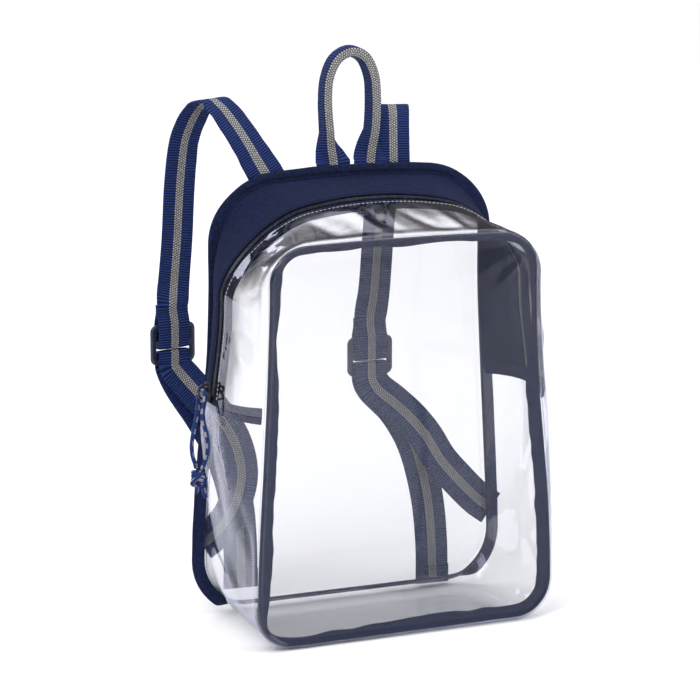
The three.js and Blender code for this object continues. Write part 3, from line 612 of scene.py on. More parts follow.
@dataclass(frozen=True)
class WebbingFinish:
    """Ribbed navy webbing with a stripe of chain weave down its middle."""

    name: str = "striped_webbing"
    # Groove colour is painted shade in the rib grooves; ridge is the lit navy yarn.
    groove_shade: Colour = (0.004, 0.008, 0.04, 1.0)
    ridge: Colour = (0.021, 0.045, 0.175, 1.0)
    # Stripe's dark colour is painted shade between the chain's knots and lanes; its light colour is the grey
    # yarn.
    stripe_shade: Colour = (0.075, 0.073, 0.072, 1.0)
    stripe_light: Colour = (0.42, 0.41, 0.4, 1.0)
    rib_pitch: float = 1.75
    yarn_pitch: float = 0.62
    lane_width: float = 1.6
    stripe_half: float = 3.2
    stripe_blur: float = 0.15
    depth: float = 0.00045

    def build(self) -> Material:
        """Makes the material."""
        s = Shade(self.name)
        across, along = s.weave_mm()
        place = s.place()
        drift = s.math("MULTIPLY_ADD", s.noise(place, 90.0, 1.0), 0.5, -0.25)
        wavy = s.plus(along, drift)
        rib = s.math("POWER", s.wave(wavy, self.rib_pitch), 0.8)
        yarn = s.wave(across, self.yarn_pitch)
        navy_high = s.times(rib, s.math("MULTIPLY_ADD", yarn, 0.25, 0.75))
        lane = s.math("DIVIDE", across, self.lane_width)
        odd = s.math("PINGPONG", s.math("FLOOR", lane), 1.0)
        shifted = s.math("MULTIPLY_ADD", odd, self.rib_pitch * 0.5, wavy)
        knots = s.wave(shifted, self.rib_pitch)
        lanes = s.math("ABSOLUTE", s.math("SINE", s.times(lane, math.pi)))
        chain = s.times(s.math("POWER", knots, 0.7), s.math("POWER", lanes, 0.5))
        outer, inner = self.stripe_half + self.stripe_blur, self.stripe_half - self.stripe_blur
        mask = s.remap(s.math("ABSOLUTE", across), outer, inner)
        fleck = s.noise(place, 900.0, 2.0, 0.7)
        worn = s.remap(fleck, 0.3, 0.75, 0.75, 1.25)
        # Navy is painted shade and light: darker down in the rib grooves, lighter on the ridges and yarns.
        navy = s.mix(s.remap(navy_high, 0.12, 0.9), self.groove_shade, self.ridge)
        # Grey stripe is painted shade where the chain weave sinks, lighter on its raised knots.
        grey = s.mix(s.remap(chain, 0.15, 0.8), self.stripe_shade, self.stripe_light)
        both = s.mix(mask, navy, grey)
        tone = s.add("ShaderNodeHueSaturation", {"Value": worn, "Color": both})
        high = s.add("ShaderNodeMix", {0: mask, 2: navy_high, 3: chain}, data_type="FLOAT")
        rough = s.remap(fleck, 0.2, 0.8, 0.62, 0.85)
        return cloth(s, tone.outputs[0], high.outputs[0], self.depth, rough, 0.05)


@dataclass(frozen=True)
class WovenFinish:
    """Navy cloth with a fine weave, slubs and soft mottling."""

    name: str
    dark: Colour
    light: Colour
    pitch_across: float
    pitch_along: float
    depth: float = 0.00012
    mottle: float = 60.0
    sheen: float = 0.1
    rough: Pair = (0.7, 0.9)

    def build(self) -> Material:
        """Makes the material."""
        s = Shade(self.name)
        across, along = s.weave_mm()
        place = s.place()
        flat = s.add("ShaderNodeCombineXYZ", {0: across, 1: along})
        warp = s.wave(across, self.pitch_across)
        weft = s.wave(along, self.pitch_along)
        cell = s.math("ABSOLUTE", s.math("SUBTRACT", warp, weft))
        slub_up = s.noise(s.stretched(flat.outputs[0], (2.2, 0.16, 1.0)), 1.0, 2.0, 0.6)
        slub_side = s.noise(s.stretched(flat.outputs[0], (0.16, 2.2, 1.0)), 1.0, 2.0, 0.6)
        cloudy = s.noise(place, self.mottle, 3.0, 0.55)
        grain = s.noise(place, 620.0, 3.0, 0.7)
        slub = s.plus(slub_up, slub_side)
        height = s.plus(s.times(cell, 0.6), s.times(slub, 0.5))
        # Colour mixes painted shade in the weave's hollows (cell) with real tone from slubs, mottling and
        # grain.
        weave_shade_and_tone = s.plus(s.times(cell, 0.35), s.times(slub, 0.3))
        weave_shade_and_tone = s.plus(weave_shade_and_tone, s.times(cloudy, 0.25))
        weave_shade_and_tone = s.plus(weave_shade_and_tone, s.times(grain, 0.75))
        colour = s.mix(s.remap(weave_shade_and_tone, 0.72, 1.2), self.dark, self.light)
        return cloth(s, colour, height, self.depth, s.remap(cloudy, 0.3, 0.7, *self.rough), self.sheen)


@dataclass(frozen=True)
class MouldedFinish:
    """Moulded plastic or lacquered metal with a fine grain, rubbed spots and small scratches."""

    name: str
    base: Colour
    rubbed: Colour
    rough: Pair = (0.32, 0.5)
    metallic: float = 0.0
    grain: float = 0.00004

    def build(self) -> Material:
        """Makes the material."""
        s = Shade(self.name)
        place = s.place()
        spots = s.noise(place, 220.0, 4.0, 0.6)
        fine = s.noise(place, 2600.0, 2.0, 0.5)
        lines = s.noise(s.stretched(place, (1.0, 1.0, 9.0)), 500.0, 2.0, 0.6)
        colour = s.mix(s.remap(spots, 0.45, 0.75), self.base, self.rubbed)
        shader = s.add("ShaderNodeBsdfPrincipled", {
            "Base Color": colour, "Roughness": s.remap(lines, 0.25, 0.75, *self.rough),
            "Metallic": self.metallic,
        })
        height = s.plus(fine, s.times(spots, 0.6))
        s.feed(shader.inputs["Normal"], s.bump(height, self.grain))
        return s.finish(shader.outputs[0])


@dataclass(frozen=True)
class BraidFinish:
    """Braided navy cord with short runs of cream strands."""

    name: str = "braided_cord"
    strand: Colour = (0.018, 0.045, 0.2, 1.0)
    # Colour between the strands: painted shade.
    gap: Colour = (0.003, 0.006, 0.03, 1.0)
    cream: Colour = (0.62, 0.58, 0.5, 1.0)
    round_mm: float = 9.42
    pitch: float = 3.1
    fleck_every: float = 8.0

    def build(self) -> Material:
        """Makes the material."""
        s = Shade(self.name)
        around, along = s.weave_mm()
        place = s.place()
        turn = s.times(around, 4.0 / self.round_mm)
        step = s.times(along, 1.0 / self.pitch)
        first = s.plus(turn, step)
        second = s.math("SUBTRACT", turn, step)
        one = s.wave(first, 0.5)
        two = s.wave(second, 0.5)
        high = s.math("MAXIMUM", one, two)
        mottle = s.noise(place, 1500.0, 2.0, 0.6)
        # Painted shade between the strands, lighter on the strands' crests.
        body = s.mix(s.remap(s.math("MULTIPLY_ADD", mottle, 0.3, high), 0.5, 1.1), self.gap, self.strand)
        beat = s.wave(along, self.fleck_every)
        side = s.wave(around, self.round_mm * 0.5)
        fleck = s.times(s.remap(beat, 0.55, 0.65), s.remap(side, 0.4, 0.52))
        fleck = s.times(fleck, s.remap(one, 0.55, 0.75))
        colour = s.mix(fleck, body, self.cream)
        return cloth(s, colour, high, 0.00025, s.remap(mottle, 0.3, 0.7, 0.6, 0.8), 0.1)


@dataclass(frozen=True)
class FloorFinish:
    """Plain pale floor with the faintest unevenness."""

    name: str = "studio_floor"
    colour: Colour = (0.9, 0.9, 0.905, 1.0)

    def build(self) -> Material:
        """Makes the material."""
        s = Shade(self.name)
        place = s.place()
        shader = s.add("ShaderNodeBsdfDiffuse")
        tone = s.mix(s.noise(place, 3.0, 2.0), self.colour, (0.915, 0.915, 0.92, 1.0))
        s.feed(shader.inputs["Color"], tone)
        return s.finish(shader.outputs[0])


class Finishes:
    """All finishes of the bag, made once."""

    def __init__(self) -> None:
        """Builds every material."""
        self.vinyl = VinylFinish().build()
        self.low_vinyl = VinylFinish("clear_vinyl_low", edge_span=(0.8, 1.0), face_shine=0.03).build()
        self.top_vinyl = VinylFinish(
            "clear_vinyl_top", edge_tint=(0.3, 0.29, 0.295, 1.0), edge_span=(0.3, 0.82), ripple=0.0012,
            face_shine=0.06,
        ).build()
        self.webbing = WebbingFinish().build()
        self.fabric = WovenFinish(
            "navy_fabric", (0.003, 0.005, 0.02, 1), (0.0125, 0.02, 0.066, 1), 0.6, 0.6, mottle=45.0,
            sheen=0.02,
        ).build()
        self.tape = WovenFinish(
            "navy_tape", (0.002, 0.004, 0.016, 1), (0.015, 0.025, 0.085, 1), 1.3, 0.9, depth=0.0003,
            mottle=160.0, sheen=0.03,
        ).build()
        self.coil = MouldedFinish(
            "coil_plastic", (0.004, 0.005, 0.012, 1), (0.03, 0.034, 0.06, 1), rough=(0.22, 0.36)
        ).build()
        self.plastic = MouldedFinish(
            "dark_plastic", (0.008, 0.014, 0.04, 1), (0.018, 0.026, 0.06, 1), rough=(0.3, 0.46)
        ).build()
        self.metal = MouldedFinish(
            "slider_metal", (0.008, 0.01, 0.022, 1), (0.05, 0.055, 0.075, 1), rough=(0.22, 0.4), metallic=0.5
        ).build()
        self.braid = BraidFinish().build()
        self.thread = self.yarn("navy_thread", (0.008, 0.012, 0.05, 1), (0.02, 0.03, 0.11, 1))
        self.dark_thread = self.yarn("dark_thread", (0.002, 0.003, 0.012, 1), (0.006, 0.008, 0.03, 1))
        self.pale_thread = self.yarn("pale_thread", (0.5, 0.5, 0.48, 1), (0.78, 0.78, 0.76, 1))

    def yarn(self, name: str, dark: Colour, light: Colour) -> Material:
        """Makes a sewing thread's finish."""
        return WovenFinish(name, dark, light, 0.3, 0.3, mottle=400.0).build()


# The bag's form


@dataclass(frozen=True)
class Section:
    """One outline that the gusset passes through."""

    y: float
    lift: float
    top: float
    arch: float
    half_top: float
    half_base: float
    belly: float
    lean: float
    corner_top: float
    corner_base: float


@dataclass(frozen=True)
class BagForm:
    """The slack surface of the gusset and the seams of the panels."""

    depth: float = 97.0
    seam_gap: float = 1.3
    zip_share: float = 0.42
    pillow: float = 2.8
    side_seam_height: float = 159.0
    flare: Pair = (30.0, 235.0)
    lean_span: Pair = (70.0, 200.0)
    ends: tuple[float, ...] = (0.16, 0.26, 0.46, 0.64, 0.8, 1.0)
    back: Section = Section(48.5, 7, 300, 6, 98, 109.5, 0, 2.5, 41, 34)
    zip: Section = Section(7.76, -3, 291, 24, 112, 109.5, 9.5, 0, 62, 42)
    front: Section = Section(-48.5, 1.5, 272, 2, 98, 109.5, 0, -2, 26, 27)

    def outline(self, section: Section, half: Array) -> tuple[Array, Array]:
        """Half outline of a section.

        Args:
            section: the outline.
            half: shares from the middle of the base, 0, to the middle of the top, 1.

        Returns:
            Distances from the middle plane and heights.
        """
        half = np.asarray(half, float)
        lower_end = section.lift + section.corner_base
        upper_start = section.top - section.corner_top

        def width_at(z: Array | float) -> Array:
            """Half width of the side at a height."""
            flare = 1 - smoothstep(z, *self.flare)
            up = np.clip((np.asarray(z, float) - lower_end) / (upper_start - lower_end), 0, 1)
            return lerp(section.half_top, section.half_base, flare) + section.belly * np.sin(np.pi * up) ** 2

        ends = np.array(self.ends)
        starts = np.concatenate([[0], ends[:-1]])
        index = np.clip(np.searchsorted(ends, half, side="left"), 0, len(ends) - 1)
        share = np.clip((half - starts[index]) / (ends - starts)[index], 0, 1)
        turn = share * np.pi / 2
        base_half, top_half = width_at(lower_end), width_at(upper_start)
        side_z = np.where(
            index == 2,
            lerp(lower_end, self.side_seam_height, share),
            lerp(self.side_seam_height, upper_start, share),
        )
        corner_x = top_half - section.corner_top * (1 - np.cos(turn))
        top_x = (1 - share) * (top_half - section.corner_top)
        spans = [index == k for k in range(len(ends) - 1)]
        x = np.select(
            spans,
            [
                share * (base_half - section.corner_base),
                base_half - section.corner_base * (1 - np.sin(turn)),
                width_at(side_z), width_at(side_z), corner_x,
            ],
            top_x,
        )
        z = np.select(
            spans,
            [
                np.full_like(share, section.lift),
                lower_end - section.corner_base * np.cos(turn),
                side_z, side_z,
                upper_start + section.corner_top * np.sin(turn)
                - section.arch * (corner_x / top_half) ** 2 * np.sin(turn),
            ],
            section.top - section.arch * (top_x / top_half) ** 2,
        )
        return x, z

    def lean_at(self, section: Section, z: Array) -> Array:
        """How far a section has slumped sideways at a height."""
        return section.lean * smoothstep(z, *self.lean_span)

    def slack(self, side: Array, half: Array, share: Array) -> Array:
        """Points of the slack gusset; share 0 is the back seam and 1 the front seam."""
        side, half, share = np.broadcast_arrays(side, half, share)
        back_x, back_z = self.outline(self.back, half)
        zip_x, zip_z = self.outline(self.zip, half)
        front_x, front_z = self.outline(self.front, half)
        rear = 1 - np.clip((self.zip_share - share) / self.zip_share, 0, 1) ** self.pillow
        fore = 1 - np.clip((share - self.zip_share) / (1 - self.zip_share), 0, 1) ** self.pillow
        reach = np.where(share < self.zip_share, rear, fore)
        x = lerp(back_x, front_x, share) + (zip_x - lerp(back_x, front_x, self.zip_share)) * reach
        z = lerp(back_z, front_z, share) + (zip_z - lerp(back_z, front_z, self.zip_share)) * reach
        lean = lerp(self.lean_at(self.back, back_z), self.lean_at(self.front, front_z), share)
        return np.stack([side * x + lean, lerp(self.back.y, self.front.y, share), z], axis=-1)

    def frame_at(self, side: Array, half: Array, share: Array) -> tuple[Array, Array]:
        """Outward unit normals of the slack surface, and how many millimetres one share of the depth is."""
        step = 1e-3
        side, half, share = np.broadcast_arrays(side, half, share)
        low = self.slack(side, np.maximum(half - step, 0), share)
        high = self.slack(side, np.minimum(half + step, 1), share)
        near_share, far_share = np.maximum(share - step, 0), np.minimum(share + step, 1)
        forward = self.slack(side, half, far_share) - self.slack(side, half, near_share)
        along = (high - low) * side[..., None]
        return unit(np.cross(along, forward)), np.linalg.norm(forward, axis=-1) / (far_share - near_share)

    def wall(
        self, side: Array, half: Array, share: Array, offset: Array | float,
        floor: float | None = None,
    ) -> Array:
        """Points at an offset from the gusset's outer face, pressed flat by the floor.

        Args:
            side: -1 for the left half, 1 for the right one.
            half: shares of the half outline.
            share: shares of the depth.
            offset: millimetres outwards.
            floor: lowest height, or None for the offset's own.

        Returns:
            Points in millimetres.
        """
        side, half, share, offset = np.broadcast_arrays(side, half, share, offset)
        normal, _ = self.frame_at(side, half, share)
        points = self.slack(side, half, share) + normal * offset[..., None]
        low = -np.minimum(offset, 0) if floor is None else np.full_like(offset, floor)
        points[..., 2] = np.maximum(points[..., 2], low)
        points[..., 1] = np.clip(points[..., 1], self.front.y + self.seam_gap, self.back.y)
        return points

    def zip_reach(self, side: Array, half: Array, forward: Array | float) -> Array:
        """Share of the depth that lies some millimetres forward of the zip."""
        _, reach = self.frame_at(side, half, np.full_like(np.asarray(half, float), self.zip_share))
        return self.zip_share + forward / reach

    def seam(self, section: Section, side: Array, half: Array) -> tuple[Array, ...]:
        """In-plane seam of a panel: x, z and the outward normal's x and z."""
        step = 1e-3
        x, z = self.outline(section, half)
        low_x, low_z = self.outline(section, np.maximum(half - step, 0))
        high_x, high_z = self.outline(section, np.minimum(half + step, 1))
        length = np.maximum(np.hypot(high_x - low_x, high_z - low_z), 1e-9)
        along_x, along_z = (high_x - low_x) / length, (high_z - low_z) / length
        return side * x + self.lean_at(section, z), z, side * along_z, -along_x

    def even_halves(self, section: Section, start: float, end: float, step: float) -> Array:
        """Shares of the half outline about one step apart along a section."""
        fine = np.linspace(start, end, 1200)
        x, z = self.outline(section, fine)
        run = np.concatenate([[0], np.cumsum(np.hypot(np.diff(x), np.diff(z)))])
        count = max(int(round(run[-1] / step)), 2)
        return np.interp(np.linspace(0, run[-1], count + 1), run, fine)

    def over_top(self, start: float, step: float) -> tuple[Array, Array]:
        """Stations from the left side over the top to the right side."""
        halves = self.even_halves(self.zip, start, 1.0, step)
        side = np.concatenate([-np.ones(len(halves)), np.ones(len(halves) - 1)])
        return side, np.concatenate([halves, halves[:-1][::-1]])

    def under_base(self, end: float, step: float) -> tuple[Array, Array]:
        """Stations from the left side under the base to the right side."""
        halves = self.even_halves(self.front, 0.0, end, step)
        side = np.concatenate([-np.ones(len(halves) - 1), np.ones(len(halves))])
        return side, np.concatenate([halves[1:][::-1], halves])

    def all_round(self, section: Section, step: float) -> tuple[Array, Array]:
        """Stations of a whole seam, each once, up the left side and down the right one."""
        halves = self.even_halves(section, 0.0, 1.0, step)
        side = np.concatenate([-np.ones(len(halves)), np.ones(len(halves) - 2)])
        return side, np.concatenate([halves, halves[1:-1][::-1]])


FORM = BagForm()
SIDE_SEAM = FORM.ends[2]
SEAM_SLIT = 0.0003
UP_SHARE = (FORM.ends[3] - SIDE_SEAM) / (FORM.zip.top - FORM.zip.corner_top - FORM.side_seam_height)


def run_lengths(points: Array, looped: bool = False) -> Array:
    """Length run up to each point of a path, with one more where it loops."""
    path = np.vstack([points, points[:1]]) if looped else points
    return np.concatenate([[0], np.cumsum(np.linalg.norm(np.diff(path, axis=0), axis=1))])


# Camera, floor and light


@dataclass
class Studio:
    """Pale floor, soft light and the photograph's camera."""

    azimuth: float = -24.16
    elevation: float = 11.08
    distance: float = 1.980
    target: Point = (-0.01964, 0.0035, 0.18838)
    focal: float = 151.01
    floor_half: float = 14.0
    front_sky: tuple = (
        (0.0, (0.5, 0.5, 0.52)), (0.35, (0.62, 0.62, 0.66)), (0.7, (0.8, 0.8, 0.86)),
        (0.86, (1.95, 1.95, 1.97)),
    )
    rear_sky: tuple = (
        (0.0, (0.1, 0.09, 0.09)), (0.3, (0.14, 0.13, 0.125)), (0.55, (0.22, 0.2, 0.2)),
        (0.72, (0.6, 0.6, 0.64)),
        (0.86, (1.95, 1.95, 1.97)),
    )

    def camera(self) -> Thing:
        """Camera at the photograph's angle."""
        az, el = math.radians(self.azimuth), math.radians(self.elevation)
        away = Vector((math.sin(az) * math.cos(el), -math.cos(az) * math.cos(el), math.sin(el)))
        data = bpy.data.cameras.new("photo_camera")
        data.lens = self.focal
        data.sensor_width = 36.0
        data.clip_end = 100.0
        made = placed("photo_camera", data)
        made.location = Vector(self.target) + away * self.distance
        made.rotation_euler = (-away).to_track_quat("-Z", "Y").to_euler()
        bpy.context.scene.camera = made
        return made

    def floor(self) -> Thing:
        """Plain pale floor, just under the bag."""
        h = self.floor_half
        mesh = bpy.data.meshes.new("floor")
        mesh.from_pydata([(-h, -h, 0), (h, -h, 0), (h, h, 0), (-h, h, 0)], [], [(0, 1, 2, 3)])
        made = placed("floor", mesh)
        made.location.z = -0.0002
        made.data.materials.append(FloorFinish().build())
        return made

    def sky(self) -> None:
        """Soft surround: bright overhead, grey near the horizon."""
        world = bpy.data.worlds.new("studio")
        bpy.context.scene.world = world
        world.use_nodes = True
        nodes, link = world.node_tree.nodes, world.node_tree.links.new
        nodes.clear()
        where = nodes.new("ShaderNodeTexCoord")
        parts = nodes.new("ShaderNodeSeparateXYZ")
        link(where.outputs["Generated"], parts.inputs[0])
        ramps = []
        for stops in (self.front_sky, self.rear_sky):
            ramp = nodes.new("ShaderNodeValToRGB")
            low, high = ramp.color_ramp.elements
            low.position, low.color = stops[0][0], (*stops[0][1], 1)
            high.position, high.color = stops[-1][0], (*stops[-1][1], 1)
            for position, colour in stops[1:-1]:
                ramp.color_ramp.elements.new(position).color = (*colour, 1)
            link(parts.outputs["Z"], ramp.inputs[0])
            ramps.append(ramp.outputs[0])
        rear = nodes.new("ShaderNodeMapRange")
        link(parts.outputs["Y"], rear.inputs[0])
        rear.inputs[1].default_value, rear.inputs[2].default_value = 0.0, 0.35
        both = nodes.new("ShaderNodeMix")
        both.data_type = "RGBA"
        link(rear.outputs[0], both.inputs[0])
        link(ramps[0], both.inputs[6])
        link(ramps[1], both.inputs[7])
        back = nodes.new("ShaderNodeBackground")
        link(both.outputs[2], back.inputs["Color"])
        out = nodes.new("ShaderNodeOutputWorld")
        link(back.outputs[0], out.inputs[0])

    def lamp(
        self, name: str, place: Point, size: Pair, power: float,
        colour: Point = (1.0, 1.0, 1.0),
    ) -> None:
        """Area lamp aimed at the bag's middle."""
        data = bpy.data.lights.new(name, "AREA")
        data.shape = "RECTANGLE"
        data.size, data.size_y = size
        data.energy = power
        data.color = colour
        made = placed(name, data)
        made.location = place
        toward = Vector((0.0, 0.0, 0.17)) - Vector(place)
        made.rotation_euler = toward.to_track_quat("-Z", "Y").to_euler()

    def build(self) -> None:
        """Sets up the whole studio."""
        bpy.context.scene.view_settings.view_transform = "Standard"
        self.camera()
        self.floor()
        self.sky()
        self.lamp("key_softbox", (-1.5, -1.5, 2.0), (1.2, 1.2), 30.0, (1.0, 0.99, 0.97))
        self.lamp("fill_softbox", (1.9, -1.3, 1.2), (1.0, 1.8), 16.0, (0.92, 0.94, 1.0))
        self.lamp("rim_softbox", (-0.9, 2.2, 1.5), (1.6, 0.7), 14.0, (0.9, 0.92, 1.0))
        LOG.info("studio: camera, floor, sky and three lamps")


# Assembly helpers


def keep(piece: Thing, slot: str, material: Material | None, *nodes: str) -> Thing:
    """Puts a finished piece in place of CAD nodes.

    Args:
        piece: the object.
        slot: the record's material slot; not used.
        material: its finish, or None where it has one.
        nodes: the CAD nodes that it stands for.

    Returns:
        The piece.
    """
    if material is not None:
        piece.data.materials.clear()
        piece.data.materials.append(material)
    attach(piece, BODY)
    if nodes:
        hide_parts(*nodes)
    LOG.info("%s: %d faces, for %s", piece.name, len(piece.data.polygons), ", ".join(nodes) or "no node")
    return piece


# Pull cord


@dataclass
class PullCord:
    """Cord through the zip slider's bail, its two halves and its knot."""

    diameter: float = 3.0
    sides: int = 20
    step: float = 0.3
    relief: float = 0.16
    strands: int = 4
    pitch: float = 3.1
    front: tuple[Point, ...] = (
        (-0.12428, 0.01679, 0.16795), (-0.12448, 0.01179, 0.16845), (-0.12448, 0.00679, 0.16855),
        (-0.12528, 0.00219, 0.16645), (-0.12648, 0.00059, 0.16165), (-0.12748, 0.00099, 0.15565),
        (-0.12688, 0.00159, 0.14965), (-0.12508, 0.00139, 0.14165), (-0.12408, 0.00099, 0.13465),
        (-0.12428, 0.00139, 0.12765), (-0.12568, 0.00259, 0.12115), (-0.12758, 0.00339, 0.11615),
    )
    rear: tuple[Point, ...] = (
        (-0.12468, 0.01639, 0.16445), (-0.12528, 0.01479, 0.16065), (-0.12648, 0.01239, 0.15665),
        (-0.12828, 0.00999, 0.15165), (-0.13008, 0.00899, 0.14515), (-0.13188, 0.00859, 0.13765),
        (-0.13268, 0.00839, 0.13065), (-0.13208, 0.00799, 0.12415), (-0.13068, 0.00739, 0.11915),
        (-0.13018, 0.00699, 0.11615),
    )
    end_start: float = 0.15
    end_round: float = 1.1
    knot: Point = (-128.98, 4.79, 110.65)
    wraps: float = 2.6
    wrap_radius: float = 4.1
    tails: tuple[Point, ...] = ((3.6, -2.6, 14.0), (-1.2, 2.4, 12.0))

    def tube(self, name: str, points: Array, phase: float = 0.0) -> Thing:
        """Braided tube along points in millimetres, with its strands in relief and closed round ends."""
        places, lengths = Catmull(points).even(self.step)
        centre = Catmull(points).at(places)
        _, side, other = path_frames(centre)
        angle = np.linspace(0, 2 * np.pi, self.sides + 1)[:-1]
        turn = angle[None, :] / (2 * np.pi) * self.strands
        step = lengths[:, None] / self.pitch + phase
        one = 0.5 + 0.5 * np.sin((turn + step) * 4 * np.pi)
        two = 0.5 + 0.5 * np.sin((turn - step) * 4 * np.pi)
        radius = self.diameter / 2 - self.relief + self.relief * np.maximum(one, two)
        ends = np.minimum(lengths, lengths[-1] - lengths)
        rise = np.clip((ends + self.end_start) / self.end_round, 0, 1)
        radius = radius * np.sqrt(np.clip(1 - (1 - rise) ** 2, 0, 1))[:, None]
        ring = ring_directions(side, other, angle)
        rings = centre[:, None, :] + ring * radius[..., None]
        around = np.linspace(0, np.pi * self.diameter, self.sides + 1)
        weave = weave_grid(around[None, :], lengths[:, None] + phase * 4)
        return skin(name, rings, weave, sharp=80)

    def knot_paths(self) -> list[Array]:
        """Routes of the knot's wraps, of its side loop and of its two tails."""
        at = np.array(self.knot)
        turn = np.linspace(0.2, self.wraps * 2 * np.pi, 26)
        share = turn / turn[-1]
        x = self.wrap_radius * np.cos(turn)
        y = self.wrap_radius * 0.85 * np.sin(turn)
        z = lerp(3.1, -3.3, share) - 0.42 * x
        wrap = np.stack([x, y, z], axis=1)
        bight = np.array([
            (1.4, -1.0, 4.4), (-0.6, -3.4, 2.6), (-3.4, -3.4, 0.2), (-5.0, -1.4, -2.4), (-4.2, 1.4, -4.6),
            (-1.4, 1.8, -5.8), (1.2, -0.6, -5.2), (2.0, -2.6, -3.0),
        ])
        paths = [wrap, bight]
        for x, y, fall in self.tails:
            paths.append(np.array([
                (0.2 * x, 0.2 * y, -1.0), (0.45 * x, 0.5 * y, -0.35 * fall), (0.75 * x, 0.8 * y, -0.7 * fall),
                (x, y, -fall),
            ]))
        return [p + at for p in paths]

    def build(self, looks: Finishes) -> None:
        parts = [self.tube(f"knot_part_{k}", p, 0.21 * k) for k, p in enumerate(self.knot_paths())]
        for part in parts:
            part.data.materials.append(looks.braid)
        knot = keep(joined("knot_braid", parts), "braided_cord", looks.braid, "pull_knot")
        for name, points, node in (
            ("cord_front_braid", self.front, "pull_cord_front"),
            ("cord_rear_braid", self.rear, "pull_cord_rear"),
        ):
            route = np.array(points) / MM
            phase = 0.13 if node.endswith("rear") else 0.0
            piece = keep(self.tube(name, route, phase), "braided_cord", looks.braid, node)
            places, _ = Catmull(route).even(3.4)
            path = [tuple(float(v) * MM for v in p) for p in Catmull(route).at(places)]
            length = float(Catmull(route).even(0.3)[1][-1]) * MM
            LOG.info("%s: %.1f mm of cord", name, length / MM)


# Clear vinyl


@dataclass(frozen=True)
class Fold:
    """A crease of the clear top: from one place to another, with its width and height in millimetres.

    Places are millimetres right of the middle along the zip's line, and shares of the depth.
    """

    start: Pair
    end: Pair
    width: float
    height: float


def fold_relief(run: Array, share: Array, folds: Sequence[Fold], depth: float) -> Array:
    """Height of all folds at places of a gusset.

    Args:
        run: millimetres along the gusset.
        share: shares of the depth.
        folds: the folds.
        depth: millimetres of one share.

    Returns:
        Heights in millimetres.
    """
    total = np.zeros(np.broadcast(run, share).shape)
    for fold in folds:
        a = np.array([fold.start[0], fold.start[1] * depth])
        b = np.array([fold.end[0], fold.end[1] * depth])
        along = b - a
        px, py = run - a[0], share * depth - a[1]
        t = np.clip((px * along[0] + py * along[1]) / along.dot(along), 0, 1)
        away = np.hypot(px - t * along[0], py - t * along[1])
        rise = fold.height * np.exp(-((away / fold.width) ** 1.5))
        total = total + rise * (0.35 + 0.65 * np.sin(np.pi * t))
    return total


